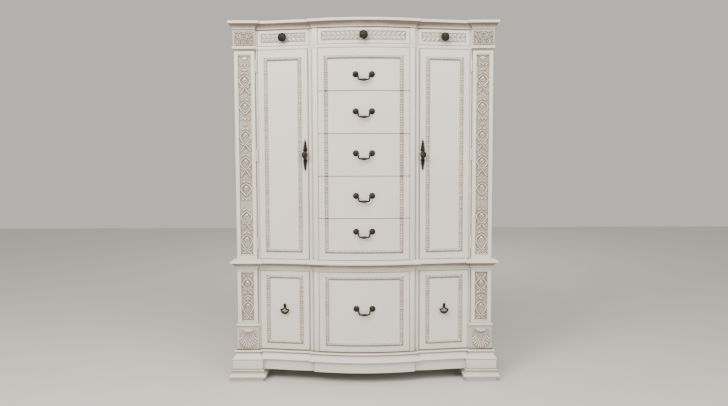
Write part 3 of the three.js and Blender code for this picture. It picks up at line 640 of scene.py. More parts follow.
def block_plan(across, back, front, corner=1.6):
    """A plan function for a block with rounded front corners and its back edge left in place."""
    x0, x1 = across
    turns = 4

    def plan(overhang):
        points = [(x0 - overhang, back)]
        for x, start, inward in ((x0 - overhang, 180, 1), (x1 + overhang, 90, -1)):
            for i in range(turns + 1):
                angle = math.radians(start - 90 * i / turns)
                points.append((x + inward * corner + corner * math.cos(angle),
                               front + overhang - corner + corner * math.sin(angle)))
        return points + [(x1 + overhang, back)]

    return plan


def foot(node):
    """A block foot: a narrow pad, a flare in two mouldings, and a plain block up to the base."""
    (x0, x1), _ = span(node)
    low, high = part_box(node)
    front, back = DEPTH / 2 - low.y / MM - FOOT_SPREAD, DEPTH / 2 - high.y / MM
    plan = block_plan((x0 + FOOT_SPREAD, x1 - FOOT_SPREAD), back, front)
    moulding(node + "_shaped", curve_profile(
        ((0, 0, 0.5), (1.5, 1.6, 0.3), 0, 2), ((2, 2, 0.1), (15, 2, 0), 0, 2),
        ((16.6, 2.2, 1.0), (18, 9, 1.0), 0, 1), ((19, 14.5, 0.5), (31, 17.9, 0), 1.2, 6),
        ((31.4, 17.4, 0), (51, 8, 0.5), -2.8, 8), ((51.6, 6.6, 0.9), (64, 4.8, 0.2), 1.4, 6),
        ((65.4, 3.4, 0.9), (66.6, 0.3, 1.0), 0, 1), ((68.4, 0, 0.2), (115, 0, 0), 0, 3),
        ((116, 0, 0.7), (116.7, 0, 0.9), 0, 1)), plan, "carcass", [node])


for side, _ in SIDES:
    foot(f"foot_front_{side}")
    foot(f"foot_rear_{side}")

# ---------------------------------------------------------------- case boards

for side, _ in SIDES:
    for upright_board in ("side_lower", "side_upper", "divider_lower", "divider_upper"):
        softened(f"{upright_board}_{side}", "carcass", PAINT)
    softened(f"shelf_{side}", "carcass", WOOD)
softened("frieze_board", "carcass", PAINT)
softened("back_panel", "carcass", BACK_WOOD)


def corner_bead(name, way, low, high):
    """The bead on the part of a stile that lies in the bay, beside the step to the centre."""
    xs = np.linspace(BREAK_X + 0.6, BREAK_X + 24.4, 17)
    across = (xs - xs[0]) / (xs[-1] - xs[0])
    bead = np.sqrt(np.clip(1 - ((across - 0.55) / 0.27) ** 2, 0, 1))
    # Painted shadow: darkest in the inner corner by the step to the centre, with a darker line along the
    # outer edge.
    held = np.maximum(np.clip(1 - across / 0.3, 0, 1), np.clip((across - 0.8) / 0.1, 0, 1) * 0.8)
    face = np.tile(front_at(xs) + 0.5 + 3.2 * bead, (2, 1))
    painted_board(name, way * xs, np.array([low, high]), face, BAY_INNER_FORWARD - 8.0, np.tile(held, (2, 1)),
                  "carcass", crease=50)


for side, way in SIDES:
    corner_bead(f"corner_bead_upper_{side}", way, waist_high + GAP, FRIEZE_RAIL_LOW - GAP)
    corner_bead(f"corner_bead_lower_{side}", way, base_high + GAP, waist_low - GAP)

# ---------------------------------------------------------------- pilasters

UPPER_CARVING = (waist_high + 21.0, UPPER_CARVING_TOP)
LOWER_CARVING = (LOWER_CARVING_LOW, waist_low - 4.0)


def in_order(inner, outer, way):
    """(low, high) in x of a stretch from an inner to an outer edge, on the left (-1) or the right (1)."""
    return (inner, outer) if way > 0 else (-outer, -inner)


def carved_post(name, across, upright, carving, replaces):
    """A post with eased edges and a recess for its carving."""
    middle = sum(across) / 2
    recess = ((middle - CARVING_HALF, middle + CARVING_HALF), carving)
    slope = 2.2
    extra_x, extra_z = recess_lines(recess, slope)
    xs, zs = lines(*across, 14.0, extra_x), lines(*upright, 60.0, extra_z)
    fall, held = sunk(xs, zs, recess, CARVING_DEPTH, slope)
    edge, edge_held = eased(xs)
    face = PILASTER_FORWARD - fall - edge[None, :]
    glaze = np.maximum(held, edge_held[None, :] * 0.6)
    painted_board(name, xs, zs, face, POST_BACK, glaze, "carcass", replaces)


def hinge_strip(name, across, upright):
    """The flat strip that carries a door's hinges, with glaze and painted shade in the corner along the post.
    """
    xs = np.linspace(*across, 5)
    by_post = np.abs(xs) > PILASTER_INNER - 3.5
    held = np.tile(np.where(by_post, 0.9, 0.0), (2, 1))
    painted_board(name, xs, np.array(upright), np.full((2, 5), STRIP_FORWARD), POST_BACK, held, "carcass")


def pilaster(node, way, carving, profile):
    """A post with a carved recess, a hinge strip beside it, and a block with its mouldings."""
    _, upright = span(node)
    across = in_order(PILASTER_INNER, HALF_WIDTH, way)
    carved_post(node + "_post", across, upright, carving, [node])
    hinge_strip(node + "_strip", in_order(PILASTER_INNER - STRIP_WIDTH, PILASTER_INNER, way), upright)
    moulding(node + "_block", profile, block_plan(across, STRIP_FORWARD - 12.0, PILASTER_FORWARD, 0.9),
             "carcass", ())


CAPITAL_PROFILE = curve_profile(
    ((CAPITAL_LOW, 0, 0.9), (CAPITAL_LOW + 10, 3.4, 0.7), -0.8, 5),
    ((CAPITAL_LOW + 10.8, 4, 1.0), (CAPITAL_LOW + 11.6, 6.4, 0.6), 0, 1),
    ((CAPITAL_LOW + 12.4, 7.6, 0.1), (CAPITAL_LOW + 24, 7.8, 0), 0.2, 4),
    ((CAPITAL_LOW + 25, 7, 0.3), (CAPITAL_LOW + 26, 4.6, 1.0), 0, 1),
    ((CAPITAL_LOW + 28, BLOCK_PROUD, 0.5), (CAPITAL_LOW + 108, BLOCK_PROUD, 0.3), 0, 3),
    ((CAPITAL_LOW + 109, BLOCK_PROUD, 0.8), (CAPITAL_LOW + 110.7, BLOCK_PROUD, 1.0), 0, 1))
FAN_PROFILE = curve_profile(
    ((FAN_LOW + 0.5, BLOCK_PROUD, 1.0), (FAN_LOW + 4, BLOCK_PROUD, 0.6), 0, 1),
    ((FAN_LOW + 6, BLOCK_PROUD, 0.4), (FAN_LOW + 122, BLOCK_PROUD, 0.4), 0, 3),
    ((FAN_LOW + 124, BLOCK_PROUD, 0.9), (FAN_LOW + 126.6, 4.4, 1.0), 0, 1),
    ((FAN_LOW + 127.2, 7.4, 0.4), (FAN_LOW + 136, 8, 0), 0.2, 4),
    ((FAN_LOW + 137, 7.8, 0), (FAN_LOW + 141.4, 3.4, 0.1), 0.3, 4),
    ((FAN_LOW + 142, 0.6, 0.9), (FAN_LOW + 144, 0.1, 0.9), 0, 1))

for side, way in SIDES:
    pilaster(f"pilaster_upper_{side}", way, UPPER_CARVING, CAPITAL_PROFILE)
    pilaster(f"pilaster_lower_{side}", way, LOWER_CARVING, FAN_PROFILE)

# ---------------------------------------------------------------- carving

class Relief:
    """Carving over a panel: heights above its ground on a grid, x from the middle and z from the bottom."""

    def __init__(self, half, tall):
        self.xs = np.linspace(-half, half, int(2 * half / CARVING_PITCH) + 1)
        self.zs = np.linspace(0, tall, int(tall / CARVING_PITCH) + 1)
        self.x, self.z = np.meshgrid(self.xs, self.zs)
        self.rise = np.zeros_like(self.x)

    def near(self, low, high):
        """The grid's rows between two heights."""
        return slice(*np.searchsorted(self.zs, (low, high)))

    def ribbon(self, points, half, rise, end_half=None, clear=1.6):
        """A rounded band through points, which first clears its way over what it crosses."""
        path = smooth_path(points, 3.0)
        halves = np.linspace(half, end_half or half, len(path))
        reach = halves.max() + 3
        rows = self.near(path[:, 1].min() - reach, path[:, 1].max() + reach)
        gap = np.hypot(self.x[rows][..., None] - path[:, 0], self.z[rows][..., None] - path[:, 1])
        share = np.min(gap / halves, -1)
        level = np.where(np.min(gap - halves, -1) < clear, np.minimum(self.rise[rows], 0.4), self.rise[rows])
        self.rise[rows] = np.maximum(level, rise * np.sqrt(np.clip(1 - share ** 2, 0, 1)))

    def leaf(self, x, z, angle, length, half, rise):
        """A pointed leaf from its root, with a sunk midrib; it clears its way like a ribbon."""
        rows = self.near(z - length - 2, z + length + 2)
        turn = math.radians(angle)
        dx, dz = self.x[rows] - x, self.z[rows] - z
        along = (dx * math.cos(turn) + dz * math.sin(turn)) / length
        across = -dx * math.sin(turn) + dz * math.cos(turn)
        width = half * np.sin(np.pi * np.clip(along, 0, 1) ** 0.75)
        share = np.abs(across) / np.maximum(width, 1e-3)
        shape = rise * np.sqrt(np.clip(1 - share ** 2, 0, 1)) * (1 - 0.5 * np.exp(-(across / 0.9) ** 2))
        beside = (along > 0.1) & (along < 1.06) & (np.abs(across) < width + 1.5)
        level = np.where(beside, np.minimum(self.rise[rows], 0.6), self.rise[rows])
        self.rise[rows] = np.maximum(level, np.where((along > 0) & (along < 1) & (share < 1), shape, 0))

    def bud(self, x, z, half_x, half_z, rise):
        """A smooth oval swelling."""
        rows = self.near(z - half_z, z + half_z)
        gap = ((self.x[rows] - x) / half_x) ** 2 + ((self.z[rows] - z) / half_z) ** 2
        self.rise[rows] = np.maximum(self.rise[rows], rise * np.sqrt(np.clip(1 - gap, 0, 1)))

    def groove(self, points, half, depth):
        """A line cut through points into what stands above the ground."""
        path = smooth_path(points, 2.0)
        rows = self.near(path[:, 1].min() - 4, path[:, 1].max() + 4)
        gap = np.min(np.hypot(self.x[rows][..., None] - path[:, 0], self.z[rows][..., None] - path[:, 1]), -1)
        self.rise[rows] -= depth * np.clip(1 - (gap / half) ** 2, 0, 1) * (self.rise[rows] > 0.3)

    def held(self, wash, reach=3):
        """Glaze: most in the narrow low places, some over all of the ground, and a wash over everything."""
        spread = self.rise.copy()
        for axis in (0, 1):
            spread = sum(np.roll(spread, step, axis) for step in range(-reach, reach + 1)) / (2 * reach + 1)
        hollow = np.clip((spread - self.rise) / 0.9, 0, 1)
        ground = np.clip(1 - self.rise / 1.4, 0, 1) * 0.6
        return np.clip(hollow + ground + wash, 0, 1)

    def seat(self, name, middle, low, forward, body, spread=1.0, wash=0.04):
        """The carving as a closed piece on a flat ground, spread sideways."""
        self.rise = np.maximum(self.rise, 0)
        painted_board(name, self.xs * spread + middle, self.zs + low, forward + 0.1 + self.rise,
                      forward - 2.0, self.held(wash), body, crease=70)


def smooth_path(points, step):
    """A smooth line through points, sampled about every step."""
    given = np.array(points, float)
    padded = np.vstack([2 * given[0] - given[1], given, 2 * given[-1] - given[-2]])
    made = []
    for p0, p1, p2, p3 in zip(padded, padded[1:], padded[2:], padded[3:]):
        count = max(3, int(4 * np.hypot(*(p2 - p1)) / step))
        t = np.linspace(0, 1, count, endpoint=False)[:, None]
        made.append(0.5 * (2 * p1 + (p2 - p0) * t + (2 * p0 - 5 * p1 + 4 * p2 - p3) * t ** 2
                           + (3 * p1 - p0 - 3 * p2 + p3) * t ** 3))
    return np.vstack(made + [given[-1:]])


def mirrored(points):
    """The same points on the other side of the middle."""
    return [(-x, z) for x, z in points]


def rails(panel, top):
    """The sill and the lintel that close a recess."""
    inset = 4.4
    for z in (inset, top - inset):
        panel.ribbon([(-26, z), (0, z), (26, z)], 3.4, 6.2)


def seat_in_recess(panel, name, middle, bottom):
    """A pilaster's carving, spread to the sides of its recess."""
    side_clearance = 2.4
    spread = (CARVING_HALF - side_clearance) / CARVING_DRAWN_HALF
    panel.seat(name, middle, bottom, PILASTER_FORWARD - CARVING_DEPTH, "carcass", spread)


def scroll(panel, z):
    """Two curls that turn out from the middle, with a drop between them."""
    turns = ((1, -3), (7, 4), (15, 6), (21, 1), (18, -6), (13, -4), (14, 0))
    for way in (-1, 1):
        panel.ribbon([(way * x, z + dz) for x, dz in turns], 2.4, 3.6)
    panel.bud(0, z - 4, 3.2, 6.5, 4.2)


def bellflower(panel, z):
    """Three hanging leaves that spread from one point."""
    panel.leaf(0, z + 8, -90, 20, 4.5, 4.2)
    for way in (-1, 1):
        panel.leaf(way * 1.5, z + 6, -90 + way * 48, 17, 3.6, 3.6)


def arch(panel, z):
    """Two leaves that meet in a point over a small bud."""
    for way in (-1, 1):
        panel.leaf(way * 19, z - 9, 90 + way * 52, 25, 4.2, 3.8)
    panel.bud(0, z - 8, 2.8, 3.6, 3.6)


def loop(panel, bud_z, crossing_z, tail):
    """A bud inside two ribbons that swell apart, cross below it, and run on as tails."""
    fall = bud_z - crossing_z
    if tail:
        for way in (-1, 1):
            panel.leaf(way * 7, crossing_z - 1, 90 - way * 62, 21, 4.2, 4.4)
            panel.leaf(way * 3, crossing_z - 6, -90 + way * 20, 22, 3.8, 4.0)
    right = [(2, bud_z + 21), (13, bud_z + 13), (24.5, bud_z - 2), (23, bud_z - 0.4 * fall),
             (11, bud_z - 0.76 * fall), (0, crossing_z)]
    if tail:
        right += [(-12, crossing_z - 0.52 * tail), (-23.5, crossing_z - tail)]
    else:
        right[-1] = (3, crossing_z)
    panel.ribbon(right, 3.0, 4.8)
    panel.ribbon(mirrored(right), 3.0, 5.8)
    cup = [(x, bud_z + dz) for x, dz in ((-10, -2), (-6, -10), (0, -13), (6, -10), (10, -2))]
    panel.ribbon(cup, 2.2, 3.8)
    panel.bud(0, bud_z + 3, 7.5, 8, 5.4)


# Heights of each loop's bud and crossing, and how far its ribbons run on below
UPPER_LOOPS = ((1629, 1585, 34), (1489, 1444, 0), (1335, 1282, 34), (1194, 1148, 36), (1052, 1010, 0),
               (901, 855, 30), (775, 713, 20))


def upper_carving(side, middle):
    """A bud and beads at the top, then scrolls and bellflowers over a chain of loops."""
    bottom, top = UPPER_CARVING
    panel = Relief(CARVING_DRAWN_HALF, top - bottom)

    def at(z):
        return z - bottom

    panel.bud(0, at(1738), 13, 9, 4.4)
    panel.groove([(-11, at(1736)), (0, at(1733)), (11, at(1736))], 1.2, 2.0)
    for i in range(-3, 4):
        panel.bud(i * 6.4, at(1750), 2.2, 3.4, 3.0)
    for z in (1708, 1420, 992):
        scroll(panel, at(z))
    for z in (1678, 1390):
        bellflower(panel, at(z))
    for bud_z, crossing_z, tail in UPPER_LOOPS:
        arch(panel, at(bud_z + 34))
        loop(panel, at(bud_z), at(crossing_z), tail)
    rails(panel, top - bottom)
    seat_in_recess(panel, f"carving_upper_{side}", middle, bottom)


def lower_carving(side, middle):
    """Two loops, with leaves that spread into the top corners and a bellflower between them."""
    bottom, top = LOWER_CARVING
    panel = Relief(CARVING_DRAWN_HALF, top - bottom)

    def at(z):
        return z - bottom

    for way in (-1, 1):
        panel.leaf(way * 24, at(582), -90 - way * 30, 26, 4.4, 3.8)
        panel.leaf(way * 21, at(545), 90 + way * 40, 34, 4.4, 3.8)
    panel.bud(0, at(551), 3.2, 5, 3.6)
    loop(panel, at(536), at(497), 24)
    bellflower(panel, at(445))
    arch(panel, at(462))
    loop(panel, at(409), at(351), 20)
    rails(panel, top - bottom)
    seat_in_recess(panel, f"carving_lower_{side}", middle, bottom)


def acanthus(panel, x, z, tall, half, rise):
    """A leaf of paired lobes round a taller middle one."""
    for share, spread, reach in ((0.04, 66, 1.0), (0.26, 48, 1.14), (0.48, 32, 1.2)):
        for way in (-1, 1):
            panel.leaf(x + way * 1.5, z + share * tall, 90 - way * spread, reach * half, 0.3 * half, rise)
    panel.leaf(x, z, 90, tall, 0.36 * half, rise + 1.0)


def capital_carving(side, middle):
    """Two rows of acanthus under a pair of corner scrolls."""
    panel = Relief(half=52.0, tall=76.0)
    panel.ribbon([(-49, 73), (0, 73), (49, 73)], 2.2, 3.6)
    for x in (-18, 18):
        acanthus(panel, x, 30, 40, 18, 3.8)
    for way in (-1, 1):
        panel.leaf(way * 24, 34, 90 - way * 40, 34, 6, 4.4)
        turns = ((6, 60), (20, 67), (36, 68), (46, 60), (42, 50), (34, 53), (37, 59))
        curl = [(way * x, z) for x, z in turns]
        panel.ribbon(curl, 3.0, 5.4)
    panel.bud(0, 66, 6, 6, 5.4)
    for x in (-34, 0, 34):
        acanthus(panel, x, 1, 40, 17, 4.8)
    face = PILASTER_FORWARD + BLOCK_PROUD
    panel.seat(f"capital_carving_{side}", middle, CAPITAL_LOW + 29.0, face, "carcass", wash=0.3)


def fan_carving(side, middle):
    """Ribs that fall from a bud and sweep out to the sides and the foot of the block."""
    panel = Relief(half=50.0, tall=104.0)
    side_ribs = 5
    for i in sorted(range(-side_ribs, side_ribs + 1), key=abs, reverse=True):
        share, way = abs(i) / side_ribs, (1 if i > 0 else -1)
        start = np.array([way * 26 * share, 78 + 10 * share ** 2])
        fall = np.array([way * 47 * math.sin(math.radians(82 * share)), 4 + 46 * share ** 1.7]) - start
        rib = [start + fall * np.array(part) for part in ((0, 0), (0.12, 0.4), (0.45, 0.78), (1, 1))]
        panel.ribbon(rib, 1.9, 4.6, 4.8, 1.0)
    panel.bud(0, 99, 25, 13, 5.0)
    for x in (-12, 0, 12):
        panel.groove([(x * 0.7, 88), (x, 100)], 1.3, 2.2)
    panel.seat(f"fan_carving_{side}", middle, FAN_LOW + 6.0, PILASTER_FORWARD + BLOCK_PROUD, "carcass")


for side, way in SIDES:
    pilaster_middle = way * (HALF_WIDTH + PILASTER_INNER) / 2
    upper_carving(side, pilaster_middle)
    lower_carving(side, pilaster_middle)
    capital_carving(side, pilaster_middle)
    fan_carving(side, pilaster_middle)

# ---------------------------------------------------------------- repeated ornament

def leaf_shape(name, length, half, rise, rib=0.4, pair=0.0, held=0.0):
    """A small closed leaf lying on its ground and pointing along +X; a pair opens by an angle.

    Its midrib is sunk by a share of the rise, or stands up as a ridge when the share is negative.
    """
    steps = 7
    points, faces, glaze = [], [], []
    along, across = np.linspace(0, 1, steps), np.linspace(-1, 1, steps)
    for turn in ([pair, -pair] if pair else [0.0]):
        start = len(points)
        c, s = math.cos(math.radians(turn)), math.sin(math.radians(turn))
        for under in (False, True):
            for u in along:
                wide = half * math.sin(math.pi * u ** 0.8)
                for v in across:
                    on_rib = abs(v) < 0.1
                    lift = rise * (1 - v * v) * math.sin(math.pi * u) ** 0.6 * (1 - rib * on_rib)
                    x, y = u * length, v * wide
                    points.append(((x * c - y * s) * MM, (x * s + y * c) * MM, (0 if under else lift) * MM))
                    rim = 1.0 if abs(v) > 0.9 else 0.6 * (on_rib and rib > 0)
                    glaze.append(0.0 if under else max(rim, held))
        faces += grid_faces(steps, steps, start) + grid_faces(steps, steps, start + steps ** 2)
    return closed_item(name, points, faces, glaze)


def make_row_tree():
    """Copies of an ornament set along a path, each lying on its surface and pointing ahead."""
    tree = bpy.data.node_groups.new("ornament_row", "GeometryNodeTree")
    new_socket = tree.interface.new_socket
    new_socket(name="Path", in_out="INPUT", socket_type="NodeSocketGeometry")
    new_socket(name="Row", in_out="OUTPUT", socket_type="NodeSocketGeometry")
    keys = {}
    for label, kind in (("Ornament", "Object"), ("Spacing", "Float"), ("Unevenness", "Float"),
                        ("Taper", "Float"), ("Seed", "Int"), ("Finish", "Material")):
        keys[label] = new_socket(name=label, in_out="INPUT", socket_type="NodeSocket" + kind).identifier

    def node(kind, settings=None, sockets=None):
        made = tree.nodes.new(kind)
        for label, value in (settings or {}).items():
            setattr(made, label, value)
        for key, value in (sockets or {}).items():
            if isinstance(value, bpy.types.NodeSocket):
                tree.links.new(value, made.inputs[key])
            else:
                made.inputs[key].default_value = value
        return made

    given = node("NodeGroupInput")
    source = node("GeometryNodeObjectInfo", {}, {"Object": given.outputs["Ornament"]})
    normal = node("GeometryNodeInputNamedAttribute", {"data_type": "FLOAT_VECTOR"}, {"Name": "facing"})
    curve = node("GeometryNodeMeshToCurve", {}, {"Mesh": given.outputs["Path"]})
    spaced = node("GeometryNodeResampleCurve", {"mode": "LENGTH"},
                  {"Curve": curve.outputs[0], "Length": given.outputs["Spacing"]})
    ahead = node("GeometryNodeInputNamedAttribute", {"data_type": "FLOAT_VECTOR"}, {"Name": "ahead"})
    turned = node("FunctionNodeAxesToRotation", {"primary_axis": "Z", "secondary_axis": "X"},
                  {"Primary Axis": normal.outputs[0], "Secondary Axis": ahead.outputs[0]})
    low = node("ShaderNodeMath", {"operation": "SUBTRACT"}, {0: 1.0, 1: given.outputs["Unevenness"]})
    high = node("ShaderNodeMath", {"operation": "ADD"}, {0: 1.0, 1: given.outputs["Unevenness"]})
    size = node("FunctionNodeRandomValue", {"data_type": "FLOAT"},
                {2: low.outputs[0], 3: high.outputs[0], "Seed": given.outputs["Seed"]})
    share = node("GeometryNodeSplineParameter")
    lost = node("ShaderNodeMath", {"operation": "MULTIPLY"},
                {0: share.outputs["Factor"], 1: given.outputs["Taper"]})
    left = node("ShaderNodeMath", {"operation": "SUBTRACT"}, {0: size.outputs[1], 1: lost.outputs[0]})
    placed = node("GeometryNodeInstanceOnPoints", {}, {
        "Points": spaced.outputs[0], "Instance": source.outputs["Geometry"],
        "Rotation": turned.outputs[0], "Scale": left.outputs[0]})
    real = node("GeometryNodeRealizeInstances", {}, {0: placed.outputs[0]})
    dressed = node("GeometryNodeSetMaterial", {},
                   {"Geometry": real.outputs[0], "Material": given.outputs["Finish"]})
    node("NodeGroupOutput", {}, {0: dressed.outputs[0]})
    return tree, keys


ROW_TREE, ROW_KEYS = make_row_tree()


def ornament_row(name, points, facing, ornament, spacing, seed, body, finish=PAINT, unevenness=0.0,
                 taper=0.0, ring_ahead=None):
    """Ornaments along a line of points in the row frame, or round a ring when given its directions."""
    count = len(points)
    links = [(i, i + 1) for i in range(count - 1)] + ([] if ring_ahead is None else [(count - 1, 0)])
    ahead = np.gradient(points, axis=0) if ring_ahead is None else ring_ahead
    mesh = bpy.data.meshes.new(name)
    mesh.from_pydata(np.asarray(points).tolist(), links, [])
    for label, ways in (("facing", facing), ("ahead", ahead / np.linalg.norm(ahead, axis=1)[:, None])):
        held = mesh.attributes.new(label, "FLOAT_VECTOR", "POINT")
        held.data.foreach_set("vector", np.broadcast_to(ways, (count, 3)).astype(np.float32).ravel())
    item = link(bpy.data.objects.new(name, mesh))
    row = item.modifiers.new("row", "NODES")
    row.node_group = ROW_TREE
    for label, value in (("Ornament", ornament), ("Spacing", spacing * MM), ("Unevenness", unevenness),
                         ("Taper", taper), ("Seed", seed), ("Finish", finish)):
        row[ROW_KEYS[label]] = value
    finish_piece(apply_modifiers(item), finish, body, (), 50)


FRAME_LEAF_LENGTH = 15.5
FRAME_LEAF_SPACING = 12.8
FRAME_LEAF_UNEVENNESS = 0.16
FRAME_LEAF = leaf_shape("frame_leaf", FRAME_LEAF_LENGTH, 6.6, 4.2, -0.15, held=0.3)
FRIEZE_LEAF = leaf_shape("frieze_leaf", 33.0, 7.4, 6.4, -0.25, 42.0)
PETAL = leaf_shape("knob_petal", 7.6, 2.2, 1.3)
HANDLE_LEAF = leaf_shape("handle_leaf", 20.0, 4.6, 3.6, 0.4, 40.0)


def facing_at(xs):
    """Directions square out of the front."""
    turns = np.array([turn_at(x) for x in np.atleast_1d(xs)])
    return np.stack([np.sin(turns), -np.cos(turns), np.zeros_like(turns)], -1)


# Across the frame moulding: place, height and glaze of its lip, quirk, carved round, quirk and lip
BAND = ((0, 0.0, 1.0), (0.3, 2.2, 0.7), (1.4, 3.0, 0.35), (2.8, 2.9, 0.4), (3.8, 1.4, 1.0), (5.2, 2.0, 0.9),
        (7.0, 2.8, 0.8), (10.0, 3.2, 0.75), (13.0, 2.8, 0.8), (14.8, 2.0, 0.9), (16.2, 1.4, 1.0),
        (17.2, 2.9, 0.4), (18.6, 3.0, 0.35), (19.7, 2.2, 0.7), (FRAME_WIDTH, 0.0, 1.0))


def bar_line(fixed, along, upright):
    """x and z of a line along a bar, at one place across it."""
    level = np.full_like(along, fixed)
    return (level, along) if upright else (along, level)


def bar_glaze_and_shade(inward, upright):
    """Glaze across a bar. A level one gets painted shade instead: dark under its lower edge as if lit from
    above, none on its top, and less glaze between.
    """
    held = np.array([held for _, _, held in BAND])
    if upright:
        return held
    from_below = np.array([across if inward > 0 else FRAME_WIDTH - across for across, _, _ in BAND])
    return np.where(from_below < 4, 1.0, np.where(from_below > 15, 0.0, held * 0.75))


def band(name, start, end, edge, inward, mitres, body, seed, upright):
    """One bar of a frame moulding, mitred or square at each end, with leaves along its round."""
    steps = 2 if upright else 26
    face, under = [], []
    for across, rise, _ in BAND:
        along = np.linspace(start + across * mitres[0], end - across * mitres[1], steps)
        x, z = bar_line(edge + inward * across, along, upright)
        face.append(to_row(x, front_at(x) + rise, z))
        under.append(to_row(x, front_at(x) - 1.0, z))
    points, faces = sheet(np.concatenate(face), np.concatenate(under), len(BAND), steps)
    glaze = np.repeat(bar_glaze_and_shade(inward, upright), steps)
    piece(name, points, faces, PAINT, body, (), np.concatenate([glaze, np.zeros_like(glaze)]), 28)
    band_leaves(name + "_leaves", start, end, edge + inward * FRAME_WIDTH / 2, mitres, body, seed, upright)


def band_leaves(name, start, end, middle, mitres, body, seed, upright):
    """The row of leaves on a bar's round, ending inside the front that carries it."""
    longest = FRAME_LEAF_LENGTH * (1 + FRAME_LEAF_UNEVENNESS)
    first, last = start + (12 if mitres[0] else 1), end - longest - (6 if mitres[1] else 1)
    x, z = bar_line(middle, np.linspace(first, last, 2 if upright else 30), upright)
    line = to_row(x, front_at(x) + 2.4, z)
    ornament_row(name, line, facing_at(x), FRAME_LEAF, FRAME_LEAF_SPACING, seed, body,
                 unevenness=FRAME_LEAF_UNEVENNESS)


def frame_moulding(name, across, upright, clip, body, seed):
    """The bars of a frame that one front carries, clipped to the front's own height."""
    (x0, x1), (z0, z1) = across, upright
    inset = 0.2
    low, high = max(z0, clip[0] + inset), min(z1, clip[1] - inset)
    has_bottom, has_top = z0 >= clip[0], z1 <= clip[1]
    mitres = (has_bottom, has_top)
    band(name + "_left_bar", low, high, x0, 1, mitres, body, seed, True)
    band(name + "_right_bar", low, high, x1, -1, mitres, body, seed + 1, True)
    if has_bottom:
        band(name + "_bottom_bar", x0, x1, z0, 1, (True, True), body, seed + 2, False)
    if has_top:
        band(name + "_top_bar", x0, x1, z1, -1, (True, True), body, seed + 3, False)


# ---------------------------------------------------------------- turned and bent hardware

def lathe(profile, sides=32):
    """Points and faces of a turned shape on +Z, from (radius, height) points."""
    angles = np.linspace(0, 2 * math.pi, sides, endpoint=False)
    points = [(r * math.cos(a), r * math.sin(a), h) for r, h in profile for a in angles]
    return np.array(points), ringed_faces(len(profile), sides)


def tube(points, radii):
    """Points and faces of a bar bent in X and Z, whose radii are spread evenly along it."""
    sides = 12
    path = smooth_path(points, 1.6)
    ahead = np.gradient(path, axis=0)
    ahead /= np.hypot(*ahead.T)[:, None]
    reach = np.interp(np.linspace(0, 1, len(path)), np.linspace(0, 1, len(radii)), radii)
    made = []
    for (x, z), (dx, dz), r in zip(path, ahead, reach):
        for i in range(sides):
            a = 2 * math.pi * i / sides
            made.append((x - dz * r * math.cos(a), r * math.sin(a), z + dx * r * math.cos(a)))
    return np.array(made), ringed_faces(len(path), sides)


def gather(*shapes):
    """Several closed shapes as one set of points and faces."""
    points, faces = [], []
    for shape_points, shape_faces in shapes:
        start = sum(len(p) for p in points)
        points.append(np.asarray(shape_points, float))
        faces += [tuple(i + start for i in face) for face in shape_faces]
    return np.concatenate(points), faces


def box_shape(xs, ys, zs):
    """Points and faces of a box from (low, high) along each axis."""
    points = np.array([(x, y, z) for z in zs for y in ys for x in xs])
    return points, [(0, 1, 3, 2), (4, 5, 7, 6), (0, 1, 5, 4), (2, 3, 7, 6), (0, 2, 6, 4), (1, 3, 7, 5)]


def outwards(shape):
    """A shape turned on +Z, laid so that its axis points out of the front."""
    points, faces = shape
    return np.stack([points[:, 0], -points[:, 2], points[:, 1]], -1), faces


def moved(shape, x, y, z):
    """A shape carried by a distance along each axis."""
    points, faces = shape
    return points + np.array([x, y, z]), faces


def seated(shape, x, z, proud=0.0, turn=None):
    """A shape that faces -Y, set on the front at x: square to it, or turned by an angle of its own."""
    points, faces = shape
    angle = turn_at(x) if turn is None else turn
    c, s = math.cos(angle), math.sin(angle)
    across, away, up = points.T
    spun = np.stack([across * c - away * s, across * s + away * c, up], -1)
    return spun * MM + to_row(x, float(front_at(x)) + proud, z), faces


def plate(outline, thickness, crown):
    """An upright plate with a crowned face from an outline of (x, z), its back on the surface."""
    outline = np.array(outline, float)
    middle = outline.mean(0)
    rings, depths = [], []
    for share, depth in ((1.0, 0.0), (1.0, 0.6 * thickness), (0.86, thickness), (0.45, thickness + crown)):
        rings.append(middle + (outline - middle) * share)
        depths.append(depth)
    points = [(x, -depth, z) for ring, depth in zip(rings, depths) for x, z in ring]
    return np.array(points), ringed_faces(len(rings), len(outline))


def both_sides(right):
    """A closed outline from the points of its right half, which starts and ends on the middle line."""
    return list(right) + mirrored(right[-2:0:-1])


def hardware(name, shape, body, replaces=()):
    """A piece of rubbed bronze."""
    piece(name, *shape, BRONZE, body, replaces, crease=38)


ROSETTE = outwards(lathe((
    (0.1, -1), (16.6, -1), (16.6, 1.2), (15.4, 2.4), (13.4, 2.9), (12.8, 2.2), (11.8, 2.4), (9, 4.8),
    (6.4, 5.9), (4.8, 6.2), (4.2, 7.4), (4.2, 11), (5.4, 13.4), (5.6, 16.2), (4.4, 19), (2.2, 20.6),
    (0.1, 21))))
BAIL_HALF = ((33.5, 0), (31.6, -5), (29.8, -12), (29.2, -19), (27.4, -25), (22, -28.6), (11, -29.4))
BAIL_RADII = (3.1, 4.5, 4.6, 4.5, 4.5, 6.2, 7.4, 6.2, 4.5, 4.5, 4.6, 4.5, 3.1)


